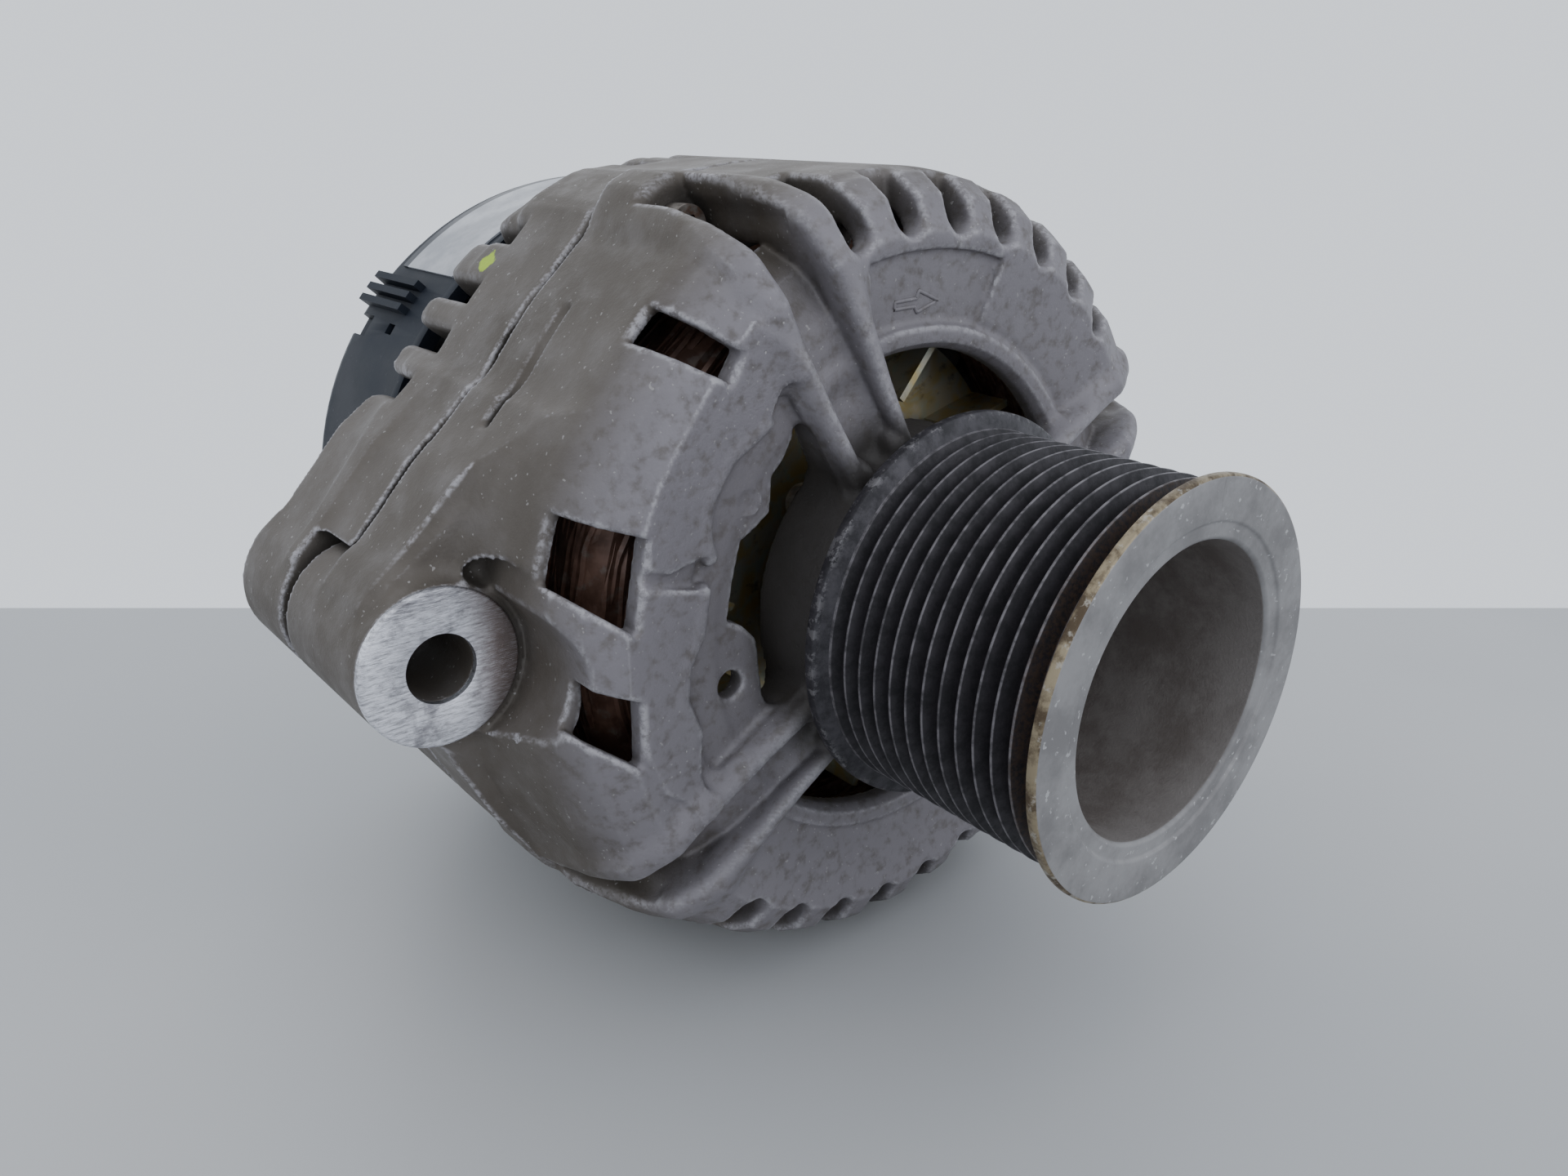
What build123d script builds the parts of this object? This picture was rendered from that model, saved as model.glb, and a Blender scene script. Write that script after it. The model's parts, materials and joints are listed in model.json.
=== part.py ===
from build123d import *
import math
import os

# Car alternator with internal fans, a twelve-groove poly-V pulley, a split pivot lug and a plastic cover.
#
# Everything is drawn about the rotor axis first: "depth" is the distance along +Y from the rear crest of the
# pulley's grooves, the pulley faces -Y, +Z is up and +X is to the right when the pulley is looked at.
# Angles run from +X towards +Z. save() then moves each piece so that the origin is the centre of the
# pivot bore at the front lug's machined face.

os.makedirs("parts", exist_ok=True)

# --- driving dimensions, millimetres ------------------------------------------------------------------
PIVOT_X, PIVOT_Z = -86.9, 1.5          # pivot bore centre from the rotor axis
PIVOT_FACE = 36.0                      # depth of the front lug's machined face
PIVOT_BORE_R = 6.1
LUG_R = 14.1

GROOVES = 12
GROOVE_PITCH = 3.56                    # PK belt profile
GROOVE_DEPTH = 2.9
CREST_R = 34.1
CREST_FLAT = 0.5
REAR_FLANGE_R = 37.0
REAR_FLANGE_BACK = 3.2
FRONT_FLANGE_R = 36.1
PULLEY_FRONT = -45.5
RECESS_R = 25.5
RECESS_BOTTOM = -6.0
PULLEY_SEAT = -8.0                     # where the nut bears
THREAD_R = 8.0
SHAFT_END = -21.0

HOUSING_R = 77.5                       # outside of both shields
WALL_R = 69.5                          # inside of the shields ahead of and behind the stator
LUG_WALL_R = 75.2                      # the same in the pivot lug's sector
CORE_R = 71.0                          # stator core outside
STATOR_BORE_R = 52.3
ROTOR_R = 51.9
CORE_FRONT, CORE_BACK = 41.0, 75.5
SPLIT_FRONT, SPLIT_BACK = 57.2, 58.8   # the gap between the two shields
REAR_WALL = 97.0
COVER_R = 71.5
COVER_BACK = 139.5

SPOKE_ANGLES = [115.0, 216.0, 302.0, 22.0]
SPOKE_WIDTH = 19.0
CHANNEL_WIDTH = 9.0
BOLT_CIRCLE_R = 74.8
BOLT_R = 2.5
BOLT_HEAD_R = 3.6
BOLT_HEAD_FRONT, BOLT_SEAT, BOLT_BACK = 40.5, 45.0, 84.0
BOSS_R = 84.5                          # the through-bolt bosses are round about their bolts

SLOT_PITCH = 10.4
SLOT_WIDTH = 6.0
SLOT_INNER_R = 70.0                    # centre of each slot's round inner end
SLOT_BACK = 22.0

HUB_R = 31.0
BEARING_OUT_R, BEARING_IN_R = 23.5, 8.5            # front bearing, 47 x 17 x 14
BEARING_FRONT, BEARING_BACK = 8.0, 22.0
REAR_BEARING_OUT_R = 17.5                          # rear bearing, 35 x 17 x 10
REAR_BEARING_FRONT, REAR_BEARING_BACK = 94.0, 104.0
SHAFT_R = 9.0
RING_SHAFT_R = 5.5
SLIP_RING_R = 8.2
SLIP_RINGS = [(110.0, 117.0), (121.0, 128.0)]
CLEARANCE = 0.05

CLAWS = 6
SLOTS_IN_CORE = 36


# --- drawing helpers ----------------------------------------------------------------------------------
def polar(radius, theta):
    return (radius * math.cos(math.radians(theta)), radius * math.sin(math.radians(theta)))


def front_plane(depth):
    """The plane at this depth, drawn on as seen from the pulley's side."""
    return Plane(origin=(0, depth, 0), x_dir=(1, 0, 0), z_dir=(0, -1, 0))


def slab(outline, front, back):
    """A front-view outline made solid between two depths."""
    return extrude(front_plane(back) * outline, amount=back - front, dir=(0, -1, 0))


def ring(inner, outer, front, back):
    return slab(Circle(outer) - Circle(inner), front, back)


def rod(place, radius, front, back):
    return slab(Pos(*place) * Circle(radius), front, back)


def polygon(*points):
    return Polygon(*points, align=None)


def spun(shape, theta):
    return Rot(0, -theta, 0) * shape


def turned(*points):
    """Solid of revolution about the rotor axis, from (radius, depth) points."""
    return revolve(polygon(*points), Axis.Y)


def swept_sector(points, start, end):
    """The part of a solid of revolution between two angles."""
    return spun(revolve(polygon(*points), Axis.Y, end - start), end)


def radial_web(points, width, theta):
    """A plate of this width that stands on a radius, from (radius, depth) points."""
    return spun(extrude(polygon(*points), amount=width / 2, both=True), theta)


def radial_box(inner, outer, width, front, back, theta):
    points = [(inner, front), (outer, front), (outer, back), (inner, back)]
    return radial_web(points, width, theta)


def sector(inner, outer, start, end, front, back):
    points = [(inner, front), (outer, front), (outer, back), (inner, back)]
    return swept_sector(points, start, end)


def merged(shapes):
    whole = shapes[0]
    for shape in shapes[1:]:
        whole = whole + shape
    return whole


def group(shapes):
    return Compound(children=[shape.solid() if hasattr(shape, "solid") else shape for shape in shapes])


def evenly(count, start=0.0):
    return [start + 360.0 * i / count for i in range(count)]


def save(name, shape):
    """Writes a piece in the part's own frame, with its origin at the pivot bore's front face."""
    export_step(Pos(-PIVOT_X, -PIVOT_FACE, -PIVOT_Z) * shape, f"parts/{name}.step")


# --- drive end shield ---------------------------------------------------------------------------------
def finger_slot(theta):
    """A slot that opens the front face and wraps over its outer corner."""
    wide = SLOT_WIDTH / 2
    outline = polygon((SLOT_INNER_R, -wide), (95, -wide), (95, wide), (SLOT_INNER_R, wide))
    outline += Pos(SLOT_INNER_R, 0) * Circle(wide)
    flare = polygon((HOUSING_R - 4.0, 0), (HOUSING_R + 3.0, -wide - 2.2), (HOUSING_R + 3.0, wide + 2.2))
    return spun(slab(outline + flare, 0, SLOT_BACK), theta)


def channel_spoke(theta):
    """A spoke that is raised above the face and runs over the corner into a through-bolt boss."""
    outline = [
        (27, 5.5), (46, 8.5), (60, 11.0), (70, 14.5), (77, 20), (82, 28), (BOSS_R, 38),
        (BOSS_R, SPLIT_FRONT), (CORE_R + CLEARANCE, SPLIT_FRONT), (CORE_R + CLEARANCE, CORE_FRONT),
        (67, CORE_FRONT), (67, 30), (62, 22.5), (46, 20.5), (27, 22),
    ]
    return radial_web(outline, SPOKE_WIDTH, theta) & spoke_end(theta, 0, SPLIT_FRONT)


def spoke_end(theta, front, back):
    """A spoke's straight sides and the round boss at its through bolt."""
    sides = radial_box(20.0, BOLT_CIRCLE_R, SPOKE_WIDTH, front, back, theta)
    return sides + rod(polar(BOLT_CIRCLE_R, theta), BOSS_R - BOLT_CIRCLE_R, front, back)


def channel_cut(theta):
    """The hollow between a spoke's two ribs, with the bolt head's seat at its end."""
    outline = [
        (30, 2), (37, 10.5), (50, 14.5), (60, 17.5), (66.5, 22.5), (69.6, 29), (69.6, BOLT_SEAT),
        (95, BOLT_SEAT), (95, 2),
    ]
    return radial_web(outline, CHANNEL_WIDTH, theta)


def boss_fairing(front, back, half):
    """The flanks that blend the through-bolt bosses and the pivot lug into the round housing."""
    outlines = [
        [(-60.3, -8.0), (-86.0, -14.0), (-84.6, -20.0), (-77.8, -34.0), (-71.5, -43.0), (-60.0, -58.0),
         (-44.0, -50.0)],
        [(-66.0, 30.0), (-86.0, 12.0), (-95.5, 12.6), (-79.5, 30.5), (-67.0, 41.0), (-56.0, 42.0)],
    ]
    for theta in SPOKE_ANGLES:
        side = [polar(radius, theta - turn) for radius, turn in half]
        side += [polar(radius, theta + turn) for radius, turn in reversed(half)]
        outlines.append(side)
    flanks = merged([slab(polygon(*points), front, back) for points in outlines])
    return flanks - rod((0, 0), CORE_R + CLEARANCE, 0, 120)


def lug_windows():
    """The three openings in the pivot lug's sector that wrap over the corner."""
    outlines = [
        [(-42.0, 51.0), (-57.0, 61.9), (-64.0, 57.5), (-44.8, 46.7)],
        [(-61.3, 24.5), (-85.0, 32.8), (-85.0, 25.5), (-64.4, 9.0)],
        [(-63.9, -3.1), (-85.0, 6.4), (-85.0, 0.7), (-64.1, -15.6)],
    ]
    backs = [24.0, 23.0, 20.5]
    return merged([slab(polygon(*points), 0, back) for points, back in zip(outlines, backs)])


def pivot_lug_front():
    """The front lug: a boss along the pivot bore, and the web that joins it to the shield."""
    boss = rod((PIVOT_X, PIVOT_Z), LUG_R, PIVOT_FACE, 69.0)
    outline = [(-91.5, 15.0), (-76.0, 25.5), (-64.5, 38.0), (-64.5, -30.0), (-76.0, -20.0), (-89.0, -12.4)]
    web = slab(polygon(*outline), 41.0, SPLIT_FRONT) - rod((0, 0), CORE_R + CLEARANCE, 0, SPLIT_FRONT)
    return boss + web - rod((0, 0), HOUSING_R + 1.5, SPLIT_FRONT, 80)


def tension_lug():
    """The adjusting lug on the side away from the pivot."""
    boss = rod(polar(91.0, 343), 11.0, 40.0, SPLIT_FRONT)
    web = sector(WALL_R + 3, 88.0, 330, 356, 42.0, SPLIT_FRONT)
    return boss + web


def drive_end_shield():
    shell = turned(
        (HOUSING_R, SPLIT_FRONT), (HOUSING_R, 26), (76.4, 20.5), (73.2, 15.6), (67, 12.5), (51, 15.2),
        (50.2, 14.2), (46.8, 14.4), (46, 15.4), (46, 19.5), (60, 17.8), (66, 17.6), (WALL_R, 22),
        (WALL_R, CORE_FRONT), (CORE_R + CLEARANCE, CORE_FRONT), (CORE_R + CLEARANCE, SPLIT_FRONT),
    )
    hub = turned(
        (19.2, 5), (29.0, 5), (HUB_R, 12), (HUB_R + 1.5, BEARING_BACK), (BEARING_OUT_R, BEARING_BACK),
        (BEARING_OUT_R, BEARING_FRONT), (19.2, BEARING_FRONT),
    )
    body = shell + hub
    for theta in SPOKE_ANGLES:
        body += channel_spoke(theta)
    slope = turned(
        (0, SPLIT_FRONT), (105, SPLIT_FRONT), (105, 47), (HOUSING_R + 5, 40), (HOUSING_R - 1, 25), (0, 25),
    )
    round_end = [(60.0, 16.0), (HOUSING_R, 22.0), (79.2, 8.0), (81.4, 5.0), (BOSS_R, 1.5)]
    body += boss_fairing(25, SPLIT_FRONT, round_end) & slope
    body += pivot_lug_front()
    body += tension_lug()
    for theta, radius, size in [(148, 43.6, 6.4), (190, 44.0, 8.0)]:
        body += rod(polar(radius, theta), size, 14.8, 21.0)
    # Raised slab of the lug's sector, with its stepped inner edge.
    body += sector(51, 66, 131, 206, 13.2, 17.0)
    step = polygon((-54.5, 17.5), (-44.5, 15.0), (-47.5, 6.5), (-55.5, -3.0), (-62.0, 6.0))
    body -= slab(step, 11.0, 14.4)
    for theta in SPOKE_ANGLES:
        body -= channel_cut(theta)
    for i in range(7):
        body -= finger_slot(104.0 - SLOT_PITCH * i)
    for i in range(6):
        body -= finger_slot(234.4 + SLOT_PITCH * i)
    for theta in [316.5, 327.0, 359.0, 8.5]:
        body -= finger_slot(theta)
    # The lug's sector is hollow: its wall stays thin beside the windows, and thick round the lug.
    lug_place = (PIVOT_X, PIVOT_Z)
    hollow = [(58, 17.2), (66, 16.8), (71, 19), (74, 22.5), (LUG_WALL_R, 27), (LUG_WALL_R, 40), (58, 40)]
    body -= swept_sector(hollow, 126, 206) - rod(lug_place, LUG_R + 5.0, 15, 41)
    body -= rod(lug_place, LUG_R + 0.9, 25.0, PIVOT_FACE)
    body -= lug_windows()
    # Shallow recessed panel that carries the rotation arrow.
    body -= sector(51.0, 63.8, 72, 101, 10.0, 15.4)
    # Long shallow groove on the outside of the lug's sector.
    body -= sector(HOUSING_R - 1.0, 90, 134, 152, 44.6, 46.6)
    body -= rod(polar(44.0, 190), 2.6, 10, 25)
    body -= rod(polar(91.0, 343), 4.25, 30, 70)
    body -= rod(lug_place, PIVOT_BORE_R, 20, 80)
    for theta in SPOKE_ANGLES:
        body -= rod(polar(BOLT_CIRCLE_R, theta), BOLT_R + CLEARANCE, 30, 70)
    for theta in evenly(4, 45):
        body -= rod(polar(27.0, theta), 2.0, 14, 30)
    return body


# --- slip ring end shield -----------------------------------------------------------------------------
def slip_ring_end_shield():
    body = turned(
        (HOUSING_R, SPLIT_BACK), (HOUSING_R, 91.5), (76.3, 94.8), (73.0, 96.6), (68, REAR_WALL),
        (24, REAR_WALL), (24, 107), (19.0, 107), (18.6, 92.5), (64, 92.5), (68.2, 90), (WALL_R, 86),
        (WALL_R, CORE_BACK), (CORE_R + CLEARANCE, CORE_BACK), (CORE_R + CLEARANCE, SPLIT_BACK),
    )
    for theta in SPOKE_ANGLES:
        outline = [
            (CORE_R + CLEARANCE, SPLIT_BACK), (80, SPLIT_BACK), (80, 82), (79, 86), (75.5, 90.5),
            (68, 93), (68, CORE_BACK), (CORE_R + CLEARANCE, CORE_BACK),
        ]
        body += radial_web(outline, SPOKE_WIDTH - 2.0, theta)
    slope = turned((0, SPLIT_BACK), (BOSS_R + 1, SPLIT_BACK), (BOSS_R + 1, 74), (HOUSING_R - 1, 84), (0, 84))
    gap = rod((PIVOT_X, PIVOT_Z), LUG_R + 1.5, SPLIT_BACK, 72.0)
    low_end = [(60.0, 16.0), (HOUSING_R, 22.0), (82.2, 5.2)]
    body += (boss_fairing(SPLIT_BACK, 84, low_end) & slope) - gap
    boss = rod((PIVOT_X, PIVOT_Z), LUG_R, 72.0, 93.0)
    flank = polygon((-95.5, 12.6), (-79.5, 30.5), (-66.0, 40.0), (-64.0, -34.0), (-89.0, -12.4))
    web = slab(flank, 72.0, 91.0) - rod((0, 0), 72.5, 0, 120)
    body += boss + web
    slots = [124.3, 134.9, 143.2, 151.6, 190.0, 198.5] + [32 + 8.6 * i for i in range(9)]
    slots += [228 + 8.6 * i for i in range(8)] + [312 + 8.6 * i for i in range(8)]
    for theta in slots:
        body -= radial_box(66.0, 95.0, SLOT_WIDTH, 78.3, 100.0, theta)
    for start, end in [(20, 80), (100, 160), (190, 250), (280, 340)]:
        body -= sector(30.0, 50.0, start, end, 90, 100)
    body -= rod((PIVOT_X, PIVOT_Z), PIVOT_BORE_R + 1.9 + CLEARANCE, 60, 100)
    for theta in SPOKE_ANGLES:
        body -= rod(polar(BOLT_CIRCLE_R, theta), BOLT_R + CLEARANCE, 50, BOLT_BACK + 1)
    for theta in COVER_SCREWS:
        body -= rod(polar(COVER_SCREW_R, theta), 2.55, 90, 100)
    for theta in RECTIFIER_SCREWS:
        body -= rod(polar(RECTIFIER_SCREW_R, theta), 2.55, 90, 100)
    for theta in LEAD_ANGLES:
        body -= rod(polar(LEAD_CIRCLE_R, theta), 2.2, 90, 100)
    for place in REGULATOR_SCREWS:
        body += rod(place, 5.0, 93.0, 107.0)
        theta = math.degrees(math.atan2(place[1], place[0]))
        body += radial_box(21.0, 44.0, 3.0, 93.0, 101.0, theta)
        body -= rod(place, 2.3, 96.0, 110)
    return body


# --- stator -------------------------------------------------------------------------------------------
def stator_core():
    body = ring(STATOR_BORE_R, CORE_R, CORE_FRONT, CORE_BACK)
    slot = radial_box(54.0, 64.5, 4.6, 0, 100, 0) + radial_box(50.0, 55.0, 2.2, 0, 100, 0)
    for theta in evenly(SLOTS_IN_CORE):
        body -= spun(slot, theta)
    return body


def stator_winding():
    """Both end turns as rounded rings, joined by one bar through each slot of the core."""
    front = turned(
        (55.5, 25.0), (63.5, 25.0), (66.0, 29.0), (66.0, 38.0), (64.5, CORE_FRONT), (54.0, CORE_FRONT),
        (53.5, 36.0), (53.5, 28.0),
    )
    rear = turned(
        (54.0, CORE_BACK), (64.5, CORE_BACK), (66.0, 79.0), (66.0, 87.0), (63.5, 90.5), (55.5, 90.5),
        (53.5, 87.5), (53.5, 79.0),
    )
    bars = [radial_box(54.4, 64.0, 4.0, CORE_FRONT, CORE_BACK, theta) for theta in evenly(SLOTS_IN_CORE)]
    return merged([front, rear] + bars)


# --- rotor --------------------------------------------------------------------------------------------
def rotor_shaft():
    front = rod((0, 0), BEARING_IN_R, PULLEY_SEAT, 37.0)
    thread = rod((0, 0), THREAD_R, SHAFT_END, PULLEY_SEAT)
    collar = rod((0, 0), 12.0, BEARING_BACK, 35.4)
    middle = rod((0, 0), SHAFT_R, 37.0, 91.0)
    rear = rod((0, 0), BEARING_IN_R, 91.0, 106.0)
    tail = rod((0, 0), RING_SHAFT_R, 106.0, 131.0)
    hexagon = slab(RegularPolygon(4.0, 6), SHAFT_END - 1.0, SHAFT_END + 9.0)
    return front + thread + collar + middle + rear + tail - hexagon


def claw_pole(front, back, tip, start):
    """A pole wheel: a hub disc with six arms, and a tapered claw standing on each arm."""
    body = ring(SHAFT_R, 30.0, front, back)
    for theta in evenly(CLAWS, start):
        body += radial_box(26.0, ROTOR_R - 3.0, 24.0, front, back, theta)
    root = front if tip > back else back
    outline = Plane.YZ.offset(40.0) * polygon((root, -12.5), (root, 12.5), (tip, 6.0), (tip, -6.0))
    claw = extrude(outline, amount=13.0, dir=(1, 0, 0))
    for theta in evenly(CLAWS, start):
        body += spun(claw, theta)
    low, high = min(front, tip) - 1, max(back, tip) + 1
    return body & ring(SHAFT_R, ROTOR_R, low, high)


def field_coil():
    return turned((22.0, 47.5), (38.5, 47.5), (38.5, 68.5), (22.0, 68.5))


def coil_bobbin():
    return turned(
        (20.0, 45.5), (39.2, 45.5), (39.2, 47.5), (22.0, 47.5), (22.0, 68.5), (39.2, 68.5), (39.2, 70.5),
        (20.0, 70.5),
    )


def fan(disc_front, disc_back, blade_front, blade_back, blades, start):
    """A stamped fan wheel: a disc with curved blades turned up at its rim."""
    body = ring(SHAFT_R, 48.5, disc_front, disc_back)
    for index, theta in enumerate(evenly(blades, start)):
        blade = Pos(41.5, (blade_front + blade_back) / 2, 0) * Box(15.0, blade_back - blade_front, 1.5)
        lean = 24.0 + 3.0 * (index % 2)
        blade = Pos(41.5, 0, 0) * (Rot(0, lean, 0) * (Pos(-41.5, 0, 0) * blade))
        body += spun(blade, theta)
    return body


def slip_rings():
    return group([ring(6.8, SLIP_RING_R, low, high) for low, high in SLIP_RINGS])


def slip_ring_hub():
    body = ring(RING_SHAFT_R, 6.8, 107.0, 131.0)
    body += ring(6.0, 8.8, 107.0, 109.6)
    body += ring(6.0, 8.8, 117.4, 120.6)
    return body + ring(6.0, 8.8, 128.4, 131.0)


# --- bearings -----------------------------------------------------------------------------------------
def bearing(prefix, bore, outside, front, back, ball_r, balls):
    pitch = (bore + outside) / 2
    middle = (front + back) / 2
    race = ball_r * 0.45
    outer = ring(pitch + race, outside, front, back)
    inner = ring(bore, pitch - race, front, back)
    groove_r = ball_r + 0.15
    turns = [math.radians(step) for step in evenly(32)]
    path = turned(*[(pitch + groove_r * math.cos(a), middle + groove_r * math.sin(a)) for a in turns])
    save(prefix + "_outer_ring", outer - path)
    save(prefix + "_inner_ring", inner - path)
    ball = Pos(pitch, middle, 0) * Sphere(ball_r)
    save(prefix + "_balls", group([spun(ball, theta) for theta in evenly(balls)]))
    shields = [ring(pitch - race + 0.35, pitch + race, front + 0.3, front + 0.8)]
    shields.append(ring(pitch - race + 0.35, pitch + race, back - 0.8, back - 0.3))
    save(prefix + "_seals", group(shields))


# --- pulley -------------------------------------------------------------------------------------------
def pulley():
    outline = [(BEARING_IN_R, REAR_FLANGE_BACK), (REAR_FLANGE_R, REAR_FLANGE_BACK), (REAR_FLANGE_R, 1.3)]
    outline.append((CREST_R, CREST_FLAT / 2))
    for i in range(GROOVES):
        crest = -GROOVE_PITCH * i
        outline.append((CREST_R, crest - CREST_FLAT / 2))
        outline.append((CREST_R - GROOVE_DEPTH, crest - GROOVE_PITCH / 2 + 0.35))
        outline.append((CREST_R - GROOVE_DEPTH, crest - GROOVE_PITCH / 2 - 0.35))
        outline.append((CREST_R, crest - GROOVE_PITCH + CREST_FLAT / 2))
    last = -GROOVE_PITCH * GROOVES
    outline += [(CREST_R, last - CREST_FLAT / 2), (FRONT_FLANGE_R, last - 1.1)]
    outline += [(FRONT_FLANGE_R, PULLEY_FRONT + 0.4), (FRONT_FLANGE_R - 0.4, PULLEY_FRONT)]
    outline += [(28.8, PULLEY_FRONT), (28.4, PULLEY_FRONT + 0.5), (RECESS_R + 0.6, PULLEY_FRONT + 0.5)]
    outline += [(RECESS_R, PULLEY_FRONT + 1.1), (RECESS_R, RECESS_BOTTOM)]
    outline += [(15.0, RECESS_BOTTOM), (15.0, PULLEY_SEAT), (BEARING_IN_R, PULLEY_SEAT)]
    return turned(*outline)


def pulley_nut():
    washer_front = PULLEY_SEAT - 2.0
    body = slab(RegularPolygon(13.8, 6), -18.0, washer_front) + rod((0, 0), 14.5, washer_front, PULLEY_SEAT)
    return body - rod((0, 0), THREAD_R, -30, 0)


# --- rectifier, regulator and brushes -----------------------------------------------------------------
PLUS_ANGLES = [150.0, 178.0, 206.0, 254.0, 282.0, 350.0]
MINUS_ANGLES = [164.0, 192.0, 220.0, 268.0, 296.0, 336.0]
RECTIFIER_SCREWS = [156.0, 238.0, 343.0]
RECTIFIER_SCREW_R = 61.0
DIODE_CIRCLE_R = 50.0
DIODE_R = 6.3
DIODE_HOLE_R = 7.6
LEAD_ANGLES = [262.0, 274.0, 286.0]
LEAD_CIRCLE_R = 60.0
LEAD_R = 1.1
BPLUS_PLACE = polar(DIODE_CIRCLE_R, 315)
REGULATOR_SCREWS = [(-19.0, 40.0), (19.0, 40.0)]
COVER_SCREWS = [65.0, 199.0, 325.0]
COVER_SCREW_R = 62.5
STUD_THREAD_R = 4.3                    # under the nut
STUD_PIN_R = 4.0                       # free end that takes the cable's ring terminal
BRUSH_DEPTHS = [113.5, 124.5]
BRUSH_X, BRUSH_Y = 5.0, 6.4
BRUSH_TOP = 21.0
SPRING_TOP = 36.0


def heat_sink(front, back, inner, outer, holes, clear):
    body = sector(inner, outer, 147, 362, front, back)
    for theta in holes:
        body -= rod(polar(DIODE_CIRCLE_R, theta), DIODE_R + CLEARANCE, front - 1, back + 1)
    for theta in clear:
        body -= rod(polar(DIODE_CIRCLE_R, theta), DIODE_HOLE_R, front - 1, back + 1)
    for theta in RECTIFIER_SCREWS:
        body -= rod(polar(RECTIFIER_SCREW_R, theta), 2.6, front - 1, back + 1)
    for theta in COVER_SCREWS:
        body -= rod(polar(COVER_SCREW_R, theta), 5.8, front - 1, back + 1)
    for theta in LEAD_ANGLES:
        body -= rod(polar(LEAD_CIRCLE_R, theta), 2.2, front - 1, back + 1)
    return body


def diodes(angles, front, back, lead):
    pieces = []
    for theta in angles:
        can = rod(polar(DIODE_CIRCLE_R, theta), DIODE_R, front, back)
        pieces.append(can + rod(polar(DIODE_CIRCLE_R, theta), 0.9, back, lead))
    return group(pieces)


def rectifier_carrier():
    body = sector(30.0, 65.0, 148, 360, 104.5, 109.0)
    for theta in PLUS_ANGLES + MINUS_ANGLES:
        body -= rod(polar(DIODE_CIRCLE_R, theta), DIODE_HOLE_R, 100, 115)
    for theta in RECTIFIER_SCREWS:
        body -= rod(polar(RECTIFIER_SCREW_R, theta), 2.6, 100, 115)
    for theta in COVER_SCREWS:
        body -= rod(polar(COVER_SCREW_R, theta), 5.8, 100, 115)
    for theta in LEAD_ANGLES:
        body -= rod(polar(LEAD_CIRCLE_R, theta), LEAD_R + CLEARANCE, 100, 115)
    return body


def brush_holder():
    body = slab(polygon((-7.5, 10.5), (7.5, 10.5), (9.0, 38.5), (-9.0, 38.5)), 107.0, 131.0)
    body += slab(polygon((-24, 34), (24, 34), (24, 46), (-24, 46)), 107.0, 113.0)
    for depth in BRUSH_DEPTHS:
        body -= Pos(0, depth, 22.0) * Box(BRUSH_X + 0.4, BRUSH_Y + 0.4, 29.0)
    for place in REGULATOR_SCREWS:
        body -= rod(place, 2.3, 100, 120)
    return body - ring(0.5, 9.6, 100, 140)


def brush(depth):
    block = Pos(0, depth, (8.0 + BRUSH_TOP) / 2) * Box(BRUSH_X, BRUSH_Y, BRUSH_TOP - 8.0)
    return block - rod((0, 0), SLIP_RING_R + 0.3, 100, 140)


def brush_spring(depth):
    wire_r, coil_r, turns = 0.3, 1.8, 7
    height = SPRING_TOP - BRUSH_TOP - 2 * wire_r - 0.4
    path = Helix(pitch=height / turns, height=height, radius=coil_r)
    section = Plane(origin=path @ 0, z_dir=path % 0) * Circle(wire_r)
    return Pos(0, depth, BRUSH_TOP + wire_r + 0.2) * sweep(section, path=path)


def regulator():
    body = slab(polygon((-15, 46.5), (15, 46.5), (15, 62), (-15, 62)), 107.0, 116.0)
    for x in [-12.0, -7.2, -2.4, 2.4, 7.2, 12.0]:
        body += slab(Pos(x, 54.25) * Rectangle(1.8, 13.5), 116.0, 121.0)
    return body


def plug_socket():
    shell = slab(Pos(-36.0, 42.0) * (Rectangle(19, 13) - Rectangle(15, 9)), 113.0, 144.0)
    floor = slab(Pos(-36.0, 42.0) * Rectangle(19, 13), 110.0, 122.0)
    return shell + floor


def plug_pins():
    return group([slab(Pos(x, 42.0) * Rectangle(1.2, 4.0), 122.0, 138.0) for x in [-40.0, -32.0]])


# --- rear cover ---------------------------------------------------------------------------------------
def rear_cover():
    body = turned(
        (COVER_R, 97.6), (COVER_R, 131.0), (COVER_R - 1.5, 135.5), (COVER_R - 5.5, COVER_BACK),
        (0, COVER_BACK), (0, COVER_BACK - 2.2), (COVER_R - 6.5, COVER_BACK - 2.2), (COVER_R - 3.6, 134.5),
        (COVER_R - 2.4, 130.5), (COVER_R - 2.4, 97.6),
    )
    # Rolled front rim, and the ribbed clip beside its notch.
    body += ring(COVER_R - 2.4, COVER_R + 0.8, 97.6, 100.4)
    for theta in [134.5, 136.9, 139.3]:
        body += radial_box(COVER_R - 2.0, COVER_R + 2.2, 1.6, 112.0, 133.0, theta)
    body -= radial_box(COVER_R - 4.0, 90.0, 5.0, 126.0, 150.0, 143.6)
    body -= radial_box(COVER_R - 4.0, 90.0, 2.4, 114.0, 117.0, 143.0)
    # Cooling air enters through slots in the rear face.
    for theta in evenly(24):
        if not 118 < theta < 152 and not 300 < theta < 330:
            body -= radial_box(26.0, 58.0, 3.6, 130, 150, theta)
    body -= ring(8.0, 10.5, 138.4, 150)
    body -= slab(Pos(-36.0, 42.0) * Rectangle(19.6, 13.6), 130, 150)
    body -= rod(BPLUS_PLACE, 9.2, 130, 150)
    for theta in COVER_SCREWS:
        post = rod(polar(COVER_SCREW_R, theta), 5.0, 97.6, COVER_BACK)
        body += post
        body -= rod(polar(COVER_SCREW_R, theta), 2.6, 90, 150)
    return body


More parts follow.
